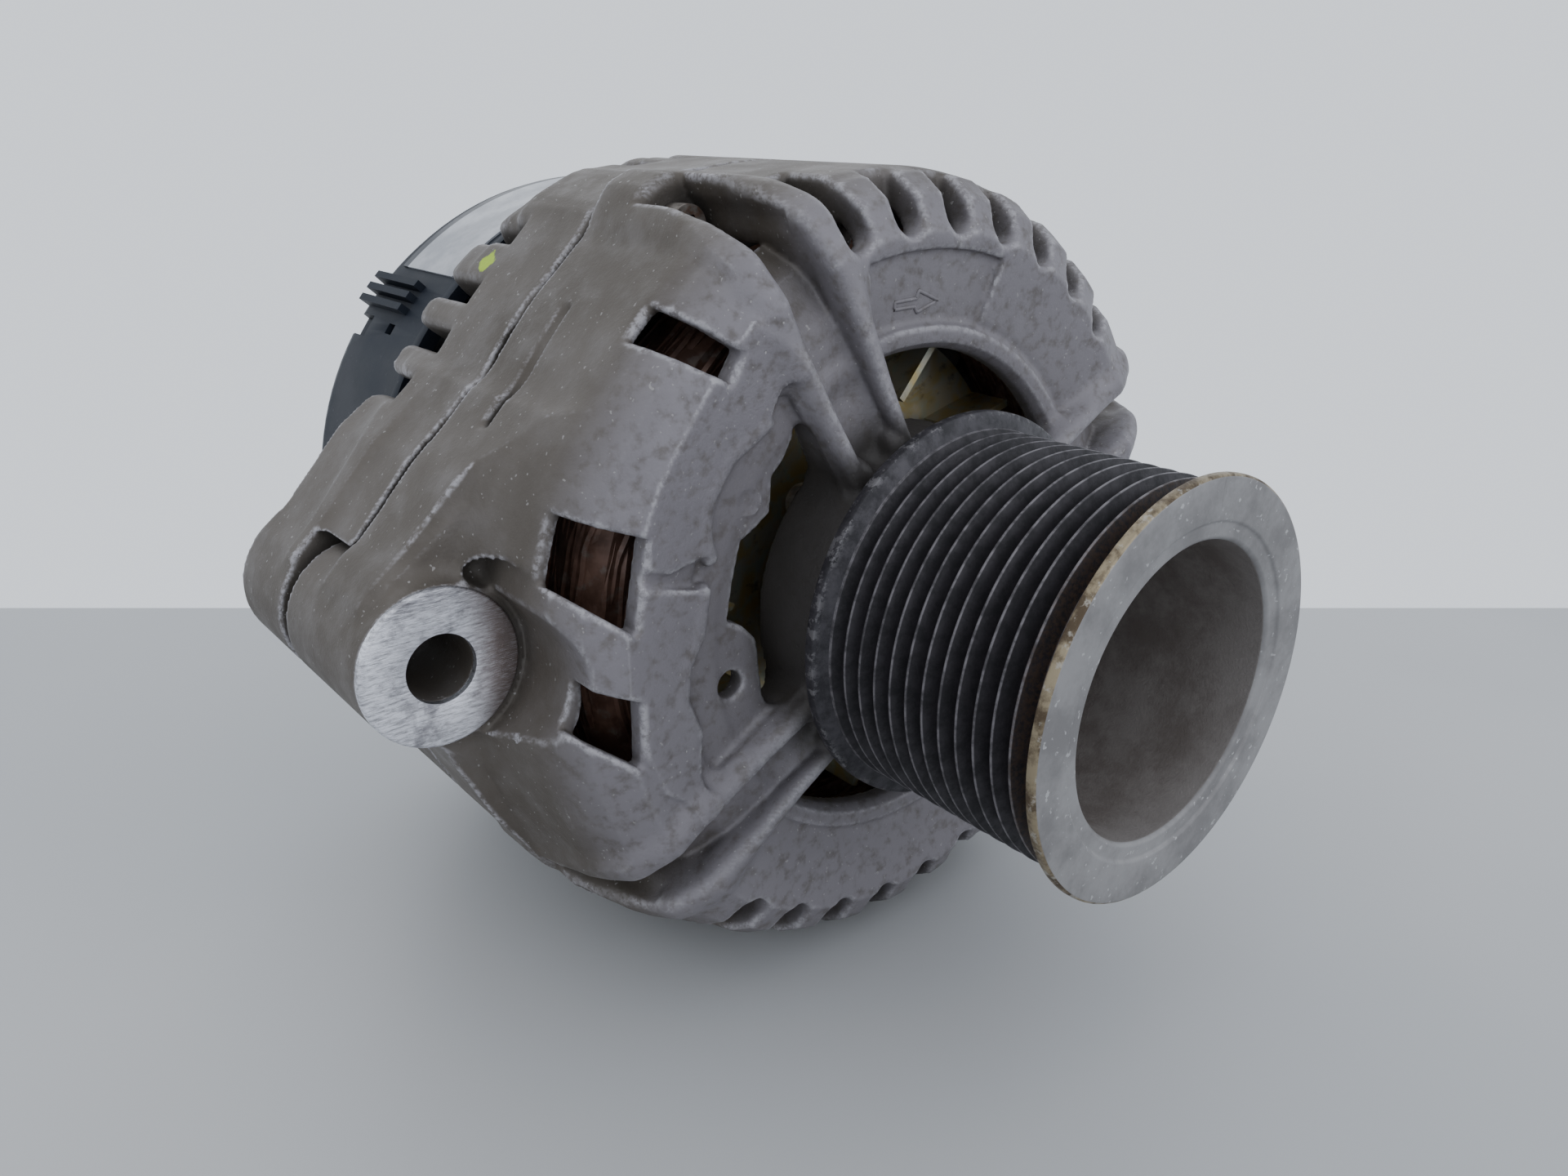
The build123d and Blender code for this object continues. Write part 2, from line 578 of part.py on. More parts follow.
def cover_label():
    return sector(COVER_R + 0.02, COVER_R + 0.4, 88, 131, 104.0, 128.5)


def screw(place, radius, head_r, seat, head_back, tip):
    """A screw driven in along -Y, with a round head and a hexagon socket."""
    body = rod(place, radius, tip, seat) + rod(place, head_r, seat, head_back)
    socket_end = head_back - (head_back - seat) * 0.6
    return body - slab(Pos(*place) * RegularPolygon(head_r * 0.5, 6), socket_end, head_back + 1)


# --- build and write every piece ----------------------------------------------------------------------
save("drive_end_shield", drive_end_shield())
save("slip_ring_end_shield", slip_ring_end_shield())
save("pivot_bushing", ring(PIVOT_BORE_R, PIVOT_BORE_R + 1.9, 71.0, 93.5).translate((PIVOT_X, 0, PIVOT_Z)))

through_bolts = []
for theta in SPOKE_ANGLES:
    place = polar(BOLT_CIRCLE_R, theta)
    head = rod(place, BOLT_HEAD_R, BOLT_HEAD_FRONT, BOLT_SEAT)
    drive = slab(Pos(*place) * RegularPolygon(2.0, 6), BOLT_HEAD_FRONT - 1, BOLT_HEAD_FRONT + 2.4)
    through_bolts.append(head + rod(place, BOLT_R, BOLT_SEAT, BOLT_BACK) - drive)
save("through_bolts", group(through_bolts))

save("stator_core", stator_core())
save("stator_winding", stator_winding())
leads = [rod(polar(LEAD_CIRCLE_R, theta), LEAD_R, 90.5, 112.0) for theta in LEAD_ANGLES]
save("winding_leads", group(leads))

bearing("front_bearing", BEARING_IN_R, BEARING_OUT_R, BEARING_FRONT, BEARING_BACK, 4.4, 8)
rear_depths = (REAR_BEARING_FRONT, REAR_BEARING_BACK)
bearing("rear_bearing", BEARING_IN_R, REAR_BEARING_OUT_R, *rear_depths, 2.4, 10)
save("rear_bearing_sleeve", ring(REAR_BEARING_OUT_R, 18.55, 93.0, 105.0))
retainer = ring(14.5, 30.0, BEARING_BACK, BEARING_BACK + 1.6)
for theta in evenly(4, 45):
    retainer -= rod(polar(27.0, theta), 2.05, 10, 30)
save("bearing_retainer", retainer)
retainer_screws = []
for theta in evenly(4, 45):
    place = polar(27.0, theta)
    retainer_screws.append(screw(place, 1.95, 3.4, BEARING_BACK + 1.6, BEARING_BACK + 3.6, 15.0))
save("retainer_screws", group(retainer_screws))

save("rotor_shaft", rotor_shaft())
save("claw_pole_front", claw_pole(37.0, 45.5, 71.5, 0.0))
save("claw_pole_rear", claw_pole(70.5, 79.0, 44.5, 30.0))
save("rotor_core", ring(SHAFT_R, 20.0, 45.5, 70.5))
save("coil_bobbin", coil_bobbin())
save("field_coil", field_coil())
save("front_fan", fan(35.4, 37.0, 25.5, 35.4, 11, 8.0))
save("rear_fan", fan(79.0, 80.6, 80.6, 89.5, 13, 0.0))
save("bearing_spacer", ring(BEARING_IN_R, 12.4, REAR_FLANGE_BACK, BEARING_FRONT))
save("slip_ring_hub", slip_ring_hub())
save("slip_rings", slip_rings())
save("pulley", pulley())
save("pulley_nut", pulley_nut())

save("minus_heat_sink", heat_sink(99.0, 102.0, 30.0, 66.0, MINUS_ANGLES, PLUS_ANGLES))
plus_sink = heat_sink(112.0, 115.0, 30.0, 66.0, PLUS_ANGLES, MINUS_ANGLES)
save("plus_heat_sink", plus_sink - rod(BPLUS_PLACE, STUD_THREAD_R + CLEARANCE, 100, 120))
save("minus_diodes", diodes(MINUS_ANGLES, 98.0, 104.0, 118.0))
save("plus_diodes", diodes(PLUS_ANGLES, 110.0, 116.5, 121.0))
save("rectifier_carrier", rectifier_carrier())
rectifier_screws = []
spacers = []
for theta in RECTIFIER_SCREWS:
    place = polar(RECTIFIER_SCREW_R, theta)
    rectifier_screws.append(screw(place, 2.5, 4.2, 115.0, 118.5, 93.5))
    for low, high in [(97.0, 99.0), (109.0, 112.0)]:
        spacers.append(rod(place, 4.6, low, high) - rod(place, 2.6, low - 1, high + 1))
save("rectifier_screws", group(rectifier_screws))
save("rectifier_spacers", group(spacers))

save("brush_holder", brush_holder())
for name, depth in zip(["front", "rear"], BRUSH_DEPTHS):
    save(f"brush_{name}", brush(depth))
    save(f"brush_spring_{name}", brush_spring(depth))
save("regulator", regulator())
regulator_screws = [screw(place, 2.25, 4.0, 113.0, 116.0, 98.0) for place in REGULATOR_SCREWS]
save("regulator_screws", group(regulator_screws))
save("plug_socket", plug_socket())
save("plug_pins", plug_pins())

stud = slab(Pos(*BPLUS_PLACE) * RegularPolygon(7.0, 6), 109.2, 112.0)
stud += rod(BPLUS_PLACE, STUD_THREAD_R, 112.0, 146.9)
stud += rod(BPLUS_PLACE, 3.4, 146.9, 147.4)
stud += rod(BPLUS_PLACE, STUD_PIN_R, 147.4, 160.0)
stud_hole = rod(BPLUS_PLACE, STUD_THREAD_R + CLEARANCE, 100, 170)
save("output_stud", stud)
save("output_insulator", rod(BPLUS_PLACE, 8.6, 115.0, 141.5) - stud_hole)
save("output_nut", slab(Pos(*BPLUS_PLACE) * RegularPolygon(7.4, 6), 141.5, 146.5) - stud_hole)

save("rear_cover", rear_cover())
save("cover_label", cover_label())
cover_screws = []
for theta in COVER_SCREWS:
    cover_screws.append(screw(polar(COVER_SCREW_R, theta), 2.5, 4.6, COVER_BACK, COVER_BACK + 3.0, 93.5))
save("cover_screws", group(cover_screws))
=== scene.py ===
import json
import math

import bmesh
import bpy
import numpy as np
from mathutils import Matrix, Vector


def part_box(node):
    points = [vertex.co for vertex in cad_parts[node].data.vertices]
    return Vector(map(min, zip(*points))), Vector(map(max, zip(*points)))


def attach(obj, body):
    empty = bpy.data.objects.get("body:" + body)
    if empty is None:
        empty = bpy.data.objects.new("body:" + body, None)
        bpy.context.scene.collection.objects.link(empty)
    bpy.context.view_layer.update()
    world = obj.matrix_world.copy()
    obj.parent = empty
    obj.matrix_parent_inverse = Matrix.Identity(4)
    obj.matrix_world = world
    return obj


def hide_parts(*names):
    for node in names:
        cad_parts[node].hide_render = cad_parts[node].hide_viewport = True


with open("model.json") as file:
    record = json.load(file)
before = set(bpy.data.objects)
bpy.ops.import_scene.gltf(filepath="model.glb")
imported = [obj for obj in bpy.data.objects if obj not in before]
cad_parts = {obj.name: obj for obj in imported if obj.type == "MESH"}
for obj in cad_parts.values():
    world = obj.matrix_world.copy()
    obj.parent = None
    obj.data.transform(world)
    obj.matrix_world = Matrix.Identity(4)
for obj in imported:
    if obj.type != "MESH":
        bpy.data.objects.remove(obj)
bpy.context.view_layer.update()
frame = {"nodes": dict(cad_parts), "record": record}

import openvdb
from mathutils import Vector

MM = 0.001
NODES = frame["nodes"]

# The rotor axis, from the record's joint, and depths in millimetres along it.
SPIN = next(j for j in frame["record"]["behaviour"]["joints"] if j["name"] == "rotor_spin")
AXIS = np.array(SPIN["pos_m"]) * 1000.0
AXIS_X, AXIS_Z = AXIS[0], AXIS[2]
PULLEY_LOW, PULLEY_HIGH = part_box("pulley")
PULLEY_FRONT = PULLEY_LOW.y * 1000.0
PULLEY_BACK = PULLEY_HIGH.y * 1000.0
CREST_DEPTH = PULLEY_BACK - 3.2        # depth of the rearmost groove crest
rng = np.random.default_rng(7)


def polar(radius, theta, depth):
    """A point given by its radius and angle about the rotor axis, in the row frame, in mm."""
    a = math.radians(theta)
    return Vector((AXIS_X + radius * math.cos(a), depth + CREST_DEPTH, AXIS_Z + radius * math.sin(a)))


# --- small mesh helpers ---------------------------------------------------------------------------
def link(name, mesh, materials, body="housing", smooth=True, angle=40.0):
    piece = bpy.data.objects.new(name, mesh)
    bpy.context.scene.collection.objects.link(piece)
    for material in materials:
        mesh.materials.append(material)
    if smooth:
        mesh.shade_smooth()
        mesh.set_sharp_from_angle(angle=math.radians(angle))
    if body:
        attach(piece, body)
    return piece


def mesh_of(name, points, faces):
    mesh = bpy.data.meshes.new(name)
    mesh.from_pydata([tuple(p) for p in points], [], [tuple(f) for f in faces])
    mesh.update()
    return mesh


# --- node helpers ---------------------------------------------------------------------------------
class Shader:
    """A Principled material and short calls for the nodes that feed it."""

    def __init__(self, name, **sockets):
        self.material = bpy.data.materials.new(name)
        self.material.use_nodes = True
        self.tree = self.material.node_tree
        self.main = self.tree.nodes["Principled BSDF"]
        for key, value in sockets.items():
            self.main.inputs[key.replace("_", " ")].default_value = value
        coords = self.tree.nodes.new("ShaderNodeTexCoord")
        self.place = coords.outputs["Object"]

    def wire(self, value, socket):
        if isinstance(value, bpy.types.NodeSocket):
            self.tree.links.new(value, socket)
        elif value is not None:
            socket.default_value = value

    def noise(self, size_mm, detail=3.0, rough=0.55, place=None, distortion=0.0):
        n = self.tree.nodes.new("ShaderNodeTexNoise")
        n.inputs["Scale"].default_value = 1000.0 / size_mm
        n.inputs["Detail"].default_value = detail
        n.inputs["Roughness"].default_value = rough
        n.inputs["Distortion"].default_value = distortion
        self.wire(place or self.place, n.inputs["Vector"])
        return n.outputs["Fac"]

    def cells(self, size_mm, place=None, feature="F1"):
        n = self.tree.nodes.new("ShaderNodeTexVoronoi")
        n.feature = feature
        n.inputs["Scale"].default_value = 1000.0 / size_mm
        self.wire(place or self.place, n.inputs["Vector"])
        return n.outputs["Distance"]

    def stretch(self, x, y, z):
        n = self.tree.nodes.new("ShaderNodeMapping")
        n.inputs["Scale"].default_value = (x, y, z)
        self.wire(self.place, n.inputs["Vector"])
        return n.outputs["Vector"]

    def span(self, value, low, high, out_low=0.0, out_high=1.0):
        n = self.tree.nodes.new("ShaderNodeMapRange")
        n.interpolation_type = "SMOOTHSTEP"
        for key, number in zip(("From Min", "From Max", "To Min", "To Max"), (low, high, out_low, out_high)):
            n.inputs[key].default_value = number
        self.wire(value, n.inputs["Value"])
        return n.outputs["Result"]

    def math(self, operation, a, b=None):
        n = self.tree.nodes.new("ShaderNodeMath")
        n.operation = operation
        self.wire(a, n.inputs[0])
        self.wire(b, n.inputs[1])
        return n.outputs[0]

    def mix(self, factor, a, b, blend="MIX"):
        n = self.tree.nodes.new("ShaderNodeMix")
        n.data_type = "RGBA"
        n.blend_type = blend
        self.wire(factor, n.inputs["Factor"])
        for value, socket in ((a, n.inputs[6]), (b, n.inputs[7])):
            self.wire((*value, 1.0) if isinstance(value, tuple) else value, socket)
        return n.outputs[2]

    def edges(self, low=0.5, high=0.56):
        """Bright on worn convex edges."""
        n = self.tree.nodes.new("ShaderNodeNewGeometry")
        return self.span(n.outputs["Pointiness"], low, high)

    def hollows(self, reach_mm=8.0):
        """Bright in open air and dark deep in corners: an occlusion mask, used to paint shade (with soiling)
        into colours.
        """
        n = self.tree.nodes.new("ShaderNodeAmbientOcclusion")
        n.samples = 8
        n.inputs["Distance"].default_value = reach_mm * MM
        return n.outputs["AO"]

    def axial(self):
        """(radius, depth) about the rotor axis, in mm."""
        shift = self.tree.nodes.new("ShaderNodeVectorMath")
        shift.operation = "MULTIPLY_ADD"
        self.wire(self.place, shift.inputs[0])
        shift.inputs[1].default_value = (1000.0, 0.0, 1000.0)
        shift.inputs[2].default_value = (-AXIS_X, 0.0, -AXIS_Z)
        length = self.tree.nodes.new("ShaderNodeVectorMath")
        length.operation = "LENGTH"
        self.wire(shift.outputs[0], length.inputs[0])
        split = self.tree.nodes.new("ShaderNodeSeparateXYZ")
        self.wire(self.place, split.inputs[0])
        depth = self.math("MULTIPLY", split.outputs["Y"], 1000.0)
        return length.outputs["Value"], depth

    def finish(self, color=None, rough=None, height=None, depth_mm=0.1, strength=1.0):
        self.wire(color, self.main.inputs["Base Color"])
        self.wire(rough, self.main.inputs["Roughness"])
        if height is not None:
            n = self.tree.nodes.new("ShaderNodeBump")
            n.inputs["Distance"].default_value = depth_mm * MM
            n.inputs["Strength"].default_value = strength
            self.wire(height, n.inputs["Height"])
            self.wire(n.outputs[0], self.main.inputs["Normal"])
        return self.material


# --- materials ------------------------------------------------------------------------------------
def cast_aluminium():
    s = Shader("cast_aluminium", Metallic=0.25)
    broad = s.noise(38.0, 4.0, 0.6)
    patch = s.noise(9.0, 5.0, 0.62)
    grain = s.noise(0.55, 3.0, 0.7)
    pebble = s.noise(2.4, 3.0, 0.6)
    base = s.mix(s.span(broad, 0.35, 0.68), (0.073, 0.061, 0.049), (0.107, 0.093, 0.080))
    base = s.mix(s.span(patch, 0.42, 0.72, 0.0, 0.55), base, (0.125, 0.113, 0.106))
    radius, depth = s.axial()
    # The front of the drive-end shield is lighter and purplish: partly its pebbled face, partly painted front
    # light with a painted bluish reflection.
    front = s.span(depth, CREST_DEPTH + 27.0, CREST_DEPTH + 12.0, 0.0, 0.85)
    front = s.math("MULTIPLY", front, s.span(pebble, 0.25, 0.55, 0.35, 1.0))
    base = s.mix(front, base, (0.206, 0.195, 0.214))
    worn = s.math("MULTIPLY", s.edges(0.509, 0.545), s.span(s.noise(1.3, 3.0, 0.7), 0.35, 0.6, 0.1, 1.0))
    base = s.mix(worn, base, (0.33, 0.32, 0.335))
    # Dark in hollows by the occlusion mask: partly dirt, partly painted shade in the recesses.
    dirt_and_shade = s.span(s.hollows(9.0), 0.75, 0.25, 0.0, 0.8)
    base = s.mix(dirt_and_shade, base, (0.040, 0.035, 0.030))
    chips = s.span(s.cells(2.3, s.stretch(1.0, 1.25, 0.8)), 0.11, 0.05)
    chips = s.math("MULTIPLY", chips, s.span(s.noise(14.0, 4.0, 0.7), 0.5, 0.66))
    base = s.mix(s.math("MULTIPLY", chips, 0.8), base, (0.42, 0.41, 0.40))
    specks = s.math("MULTIPLY", s.span(s.noise(0.9, 1.0), 0.71, 0.76), 0.5)
    base = s.mix(specks, base, (0.36, 0.35, 0.34))
    rust = s.math("MULTIPLY", s.span(s.noise(6.0, 6.0, 0.75), 0.68, 0.78), 0.5)
    base = s.mix(rust, base, (0.16, 0.075, 0.035))
    # Painted shade on the hub behind the pulley, with some dirt: much darker inside about 42 mm from the
    # axis.
    base = s.mix(s.span(radius, 42.0, 33.0, 0.0, 0.93), base, (0.045, 0.040, 0.036))
    # A dab of yellow-green inspection paint on the rear shield, above the pivot lug.
    away = s.tree.nodes.new("ShaderNodeVectorMath")
    away.operation = "DISTANCE"
    s.wire(s.place, away.inputs[0])
    away.inputs[1].default_value = polar(77.5, 130.0, 81.0) * MM
    spread = s.math("ADD", away.outputs["Value"], s.math("MULTIPLY", s.noise(3.0, 3.0, 0.6), 0.004))
    base = s.mix(s.span(spread, 0.0046, 0.0040, 0.0, 0.95), base, (0.36, 0.52, 0.02))
    rough = s.span(patch, 0.3, 0.7, 0.62, 0.48)
    height = s.math("ADD", s.math("MULTIPLY", grain, 0.35), s.math("MULTIPLY", pebble, 0.65))
    height = s.math("SUBTRACT", height, s.math("MULTIPLY", chips, 0.8))
    return s.finish(base, rough, height, 0.19, 0.95)


def machined_face():
    """The bright, scratched landing of the pivot lug, with brown stain at one side."""
    s = Shader("machined_face", Metallic=0.85)
    scratch = s.noise(1.1, 6.0, 0.75, s.stretch(0.35, 1.0, 2.4))
    fine = s.noise(0.5, 4.0, 0.7, s.stretch(0.25, 1.0, 3.0))
    stain = s.span(s.noise(7.0, 5.0, 0.65), 0.5, 0.66)
    split = s.tree.nodes.new("ShaderNodeSeparateXYZ")
    s.wire(s.place, split.inputs[0])
    side = s.span(split.outputs["X"], 0.003, 0.011)
    top = s.span(split.outputs["Z"], 0.008, 0.013, 0.0, 0.6)
    base = s.mix(s.span(scratch, 0.32, 0.6), (0.30, 0.30, 0.32), (0.86, 0.87, 0.93))
    base = s.mix(s.math("MULTIPLY", stain, 0.6), base, (0.12, 0.11, 0.12))
    base = s.mix(s.math("MULTIPLY", top, s.span(fine, 0.25, 0.55)), base, (0.08, 0.075, 0.08))
    base = s.mix(s.math("MULTIPLY", side, s.span(fine, 0.25, 0.6, 0.45, 1.0)), base, (0.22, 0.175, 0.16))
    return s.finish(base, s.span(scratch, 0.3, 0.7, 0.5, 0.28), s.math("ADD", scratch, fine), 0.08, 0.8)


def metal(name, dark, light, size_mm=4.0, rough=(0.35, 0.55), metallic=0.85, bump=0.03, rust=0.0, lay=None):
    s = Shader(name, Metallic=metallic)
    place = s.stretch(*lay) if lay else None
    broad = s.noise(size_mm, 5.0, 0.65, place)
    fine = s.noise(0.6, 3.0, 0.65, place)
    base = s.mix(s.span(broad, 0.35, 0.65), dark, light)
    if rust:
        spots = s.math("MULTIPLY", s.span(s.noise(3.0, 6.0, 0.75), 0.5, 0.68), rust)
        base = s.mix(spots, base, (0.15, 0.062, 0.028))
    # Painted shade: the occlusion mask darkens the hollows, with some grime.
    darkening = s.span(s.hollows(3.0), 0.7, 0.2, 0.0, 0.7)
    base = s.mix(darkening, base, (0.02, 0.017, 0.015))
    return s.finish(base, s.span(broad, 0.3, 0.7, *rough), fine, bump, 0.8)


def pulley_grooves():
    s = Shader("pulley_grooves", Metallic=0.35)
    radius, depth = s.axial()
    streak = s.noise(3.0, 5.0, 0.7)
    fine = s.noise(0.7, 3.0, 0.7)
    base = s.mix(s.span(streak, 0.35, 0.65), (0.010, 0.009, 0.011), (0.026, 0.023, 0.027))
    crest = s.math("MULTIPLY", s.span(radius, 33.96, 34.08), s.span(streak, 0.38, 0.62, 0.25, 1.0))
    base = s.mix(crest, base, (0.15, 0.14, 0.15))
    rust = s.span(depth, CREST_DEPTH - 36.0, CREST_DEPTH - 43.0, 0.0, 0.75)
    base = s.mix(s.math("MULTIPLY", rust, s.span(fine, 0.35, 0.65)), base, (0.085, 0.048, 0.026))
    return s.finish(base, s.span(streak, 0.3, 0.7, 0.62, 0.45), fine, 0.05, 0.7)


def pulley_face():
    s = Shader("pulley_face", Metallic=0.3)
    broad = s.noise(12.0, 5.0, 0.65)
    fine = s.noise(0.8, 4.0, 0.7)
    base = s.mix(s.span(broad, 0.35, 0.65), (0.17, 0.165, 0.165), (0.255, 0.25, 0.25))
    specks = s.span(s.noise(1.3, 2.0), 0.66, 0.72)
    base = s.mix(s.math("MULTIPLY", specks, 0.8), base, (0.42, 0.42, 0.42))
    scratch = s.span(s.noise(2.2, 4.0, 0.7, s.stretch(1.0, 1.0, 0.12)), 0.68, 0.73)
    base = s.mix(s.math("MULTIPLY", scratch, 0.35), base, (0.09, 0.085, 0.08))
    return s.finish(base, s.span(broad, 0.3, 0.7, 0.6, 0.42), fine, 0.05, 0.8)


def pulley_rim():
    """The rim of the front flange: worn through to brass-coloured rust."""
    s = Shader("pulley_rim", Metallic=0.55)
    broad = s.noise(5.0, 6.0, 0.7)
    fine = s.noise(0.7, 3.0, 0.7)
    base = s.mix(s.span(broad, 0.38, 0.6), (0.075, 0.052, 0.030), (0.26, 0.215, 0.14))
    base = s.mix(s.span(s.noise(2.0, 4.0, 0.7), 0.55, 0.66, 0.0, 0.8), base, (0.33, 0.31, 0.27))
    return s.finish(base, s.span(broad, 0.3, 0.7, 0.6, 0.35), fine, 0.05, 0.8)


def pulley_recess():
    s = Shader("pulley_recess", Metallic=0.2)
    broad = s.noise(10.0, 6.0, 0.7)
    fine = s.noise(0.6, 4.0, 0.75)
    base = s.mix(s.span(broad, 0.35, 0.65), (0.115, 0.098, 0.088), (0.175, 0.158, 0.147))
    depth = s.axial()[1]
    mouth = s.span(depth, CREST_DEPTH - 36.0, CREST_DEPTH - 45.0, 0.0, 0.55)
    base = s.mix(mouth, base, (0.21, 0.195, 0.185))
    return s.finish(base, s.span(broad, 0.3, 0.7, 0.8, 0.6), fine, 0.14, 1.0)


def pulley_flange():
    """The rear flange: blackened steel, chipped bright along its edge."""
    s = Shader("pulley_flange", Metallic=0.4)
    broad = s.noise(4.0, 6.0, 0.7)
    fine = s.noise(0.6, 3.0, 0.7)
    base = s.mix(s.span(broad, 0.35, 0.65), (0.016, 0.015, 0.018), (0.045, 0.042, 0.048))
    chips = s.math("MULTIPLY", s.span(s.noise(2.6, 5.0, 0.75), 0.52, 0.6), s.edges(0.5, 0.53))
    base = s.mix(chips, base, (0.12, 0.115, 0.12))
    return s.finish(base, s.span(broad, 0.3, 0.7, 0.55, 0.38), fine, 0.06, 0.8)


def copper(name="enamelled_copper"):
    s = Shader(name, Metallic=0.35)
    s.main.inputs["Coat Weight"].default_value = 0.25
    s.main.inputs["Coat Roughness"].default_value = 0.35
    broad = s.noise(7.0, 4.0, 0.65)
    fine = s.noise(0.7, 3.0, 0.65)
    base = s.mix(s.span(broad, 0.35, 0.65), (0.085, 0.042, 0.028), (0.19, 0.105, 0.075))
    base = s.mix(s.span(s.noise(2.5, 4.0), 0.55, 0.7, 0.0, 0.6), base, (0.20, 0.17, 0.15))
    return s.finish(base, s.span(broad, 0.3, 0.7, 0.55, 0.38), fine, 0.05, 0.6)


def passivated():
    """Zinc plate with the yellow, green and pink bloom of chromate passivation."""
    s = Shader("passivated_steel", Metallic=0.8)
    bloom = s.noise(9.0, 3.0, 0.5, distortion=1.2)
    second = s.noise(5.0, 2.0, 0.5, distortion=0.8)
    fine = s.noise(0.9, 3.0, 0.65)
    base = s.mix(s.span(bloom, 0.35, 0.65), (0.42, 0.40, 0.33), (0.46, 0.36, 0.16))
    base = s.mix(s.span(second, 0.5, 0.68, 0.0, 0.6), base, (0.36, 0.42, 0.36))
    # Grime in random patches.
    darkening = s.span(s.noise(4.0, 5.0, 0.7), 0.55, 0.75, 0.0, 0.75)
    base = s.mix(darkening, base, (0.10, 0.09, 0.075))
    return s.finish(base, s.span(bloom, 0.3, 0.7, 0.42, 0.28), fine, 0.03, 0.7)


def plastic(name, dark, light, rough=(0.42, 0.56), grain_mm=0.35, bump=0.05, sheen=0.5):
    s = Shader(name, Specular_IOR_Level=sheen)
    broad = s.noise(16.0, 4.0, 0.6)
    fine = s.noise(grain_mm, 2.0, 0.6)
    dust = s.span(s.noise(1.5, 3.0, 0.7), 0.66, 0.74, 0.0, 0.35)
    base = s.mix(s.span(broad, 0.35, 0.65), dark, light)
    base = s.mix(dust, base, (0.16, 0.16, 0.165))
    return s.finish(base, s.span(broad, 0.3, 0.7, *rough), fine, bump, 0.7)


def label_paper():
    s = Shader("label_paper")
    stain = s.noise(8.0, 5.0, 0.65)
    fine = s.noise(0.4, 2.0)
    base = s.mix(s.span(stain, 0.35, 0.7), (0.30, 0.31, 0.335), (0.42, 0.43, 0.455))
    base = s.mix(s.span(s.noise(2.0, 5.0, 0.7), 0.6, 0.72, 0.0, 0.5), base, (0.22, 0.22, 0.23))
    depth = s.axial()[1]
    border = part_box("cover_label")[1].y * 1000.0 - 2.6
    base = s.mix(s.span(depth, border, border + 0.3), base, (0.014, 0.017, 0.024))
    return s.finish(base, s.span(stain, 0.3, 0.7, 0.42, 0.3), fine, 0.02, 0.4)


# Steels, plates and plastics that differ only in tone: the darkest and lightest colour, then metal's or
# plastic's other arguments in order.
METALS = {
    "bush_steel": ((0.16, 0.15, 0.15), (0.30, 0.29, 0.29), 3.0, (0.3, 0.5), 0.85, 0.03, 0.3),
    "bolt_steel": ((0.11, 0.095, 0.082), (0.22, 0.20, 0.18), 2.0, (0.4, 0.6), 0.7, 0.05, 0.6),
    "lamination_steel": (
        (0.05, 0.045, 0.042), (0.09, 0.083, 0.078), 5.0, (0.5, 0.7), 0.6, 0.06, 0.25, (1, 14, 1)),
    "bearing_steel": ((0.35, 0.35, 0.35), (0.52, 0.52, 0.52), 4.0, (0.12, 0.25), 1.0, 0.01),
    "zinc_steel": ((0.28, 0.27, 0.24), (0.44, 0.42, 0.37), 4.0, (0.3, 0.5), 0.9, 0.03, 0.2),
    "shaft_steel": ((0.22, 0.21, 0.2), (0.38, 0.37, 0.36), 3.0, (0.25, 0.45), 0.95, 0.02, 0.25, (1, 8, 1)),
    "claw_steel": ((0.05, 0.047, 0.045), (0.11, 0.105, 0.10), 6.0, (0.5, 0.7), 0.7, 0.1, 0.3),
    "slip_ring_copper": (
        (0.34, 0.16, 0.09), (0.52, 0.27, 0.16), 2.0, (0.18, 0.3), 1.0, 0.01, 0.0, (1, 20, 1)),
    "plate_aluminium": ((0.30, 0.30, 0.31), (0.44, 0.44, 0.45), 6.0, (0.35, 0.5), 0.9, 0.03),
    "diode_nickel": ((0.40, 0.39, 0.37), (0.55, 0.54, 0.51), 3.0, (0.25, 0.4), 0.95, 0.02),
    "spring_steel": ((0.25, 0.25, 0.25), (0.4, 0.4, 0.4), 2.0, (0.2, 0.35), 1.0, 0.01),
    "terminal_brass": ((0.42, 0.36, 0.25), (0.55, 0.48, 0.34), 2.0, (0.25, 0.4), 1.0, 0.01),
}
PLASTICS = {
    "seal_rubber": ((0.012, 0.012, 0.012), (0.022, 0.021, 0.021), (0.55, 0.7)),
    "brown_plastic": ((0.055, 0.03, 0.018), (0.085, 0.048, 0.03)),
    "black_plastic": ((0.010, 0.010, 0.011), (0.020, 0.020, 0.021)),
    "carbon": ((0.018, 0.014, 0.012), (0.035, 0.024, 0.018), (0.45, 0.6)),
    "cover_plastic": ((0.009, 0.012, 0.018), (0.014, 0.018, 0.026), (0.5, 0.62), 0.3, 0.04, 0.16),
}


def build_materials():
    made = {
        "cast_aluminium": cast_aluminium(),
        "machined_face": machined_face(),
        "passivated_steel": passivated(),
        "enamelled_copper": copper(),
        "pulley_steel": pulley_grooves(),
        "label_paper": label_paper(),
    }
    for name, arguments in METALS.items():
        made[name] = metal(name, *arguments)
    for name, arguments in PLASTICS.items():
        made[name] = plastic(name, *arguments)
    return made


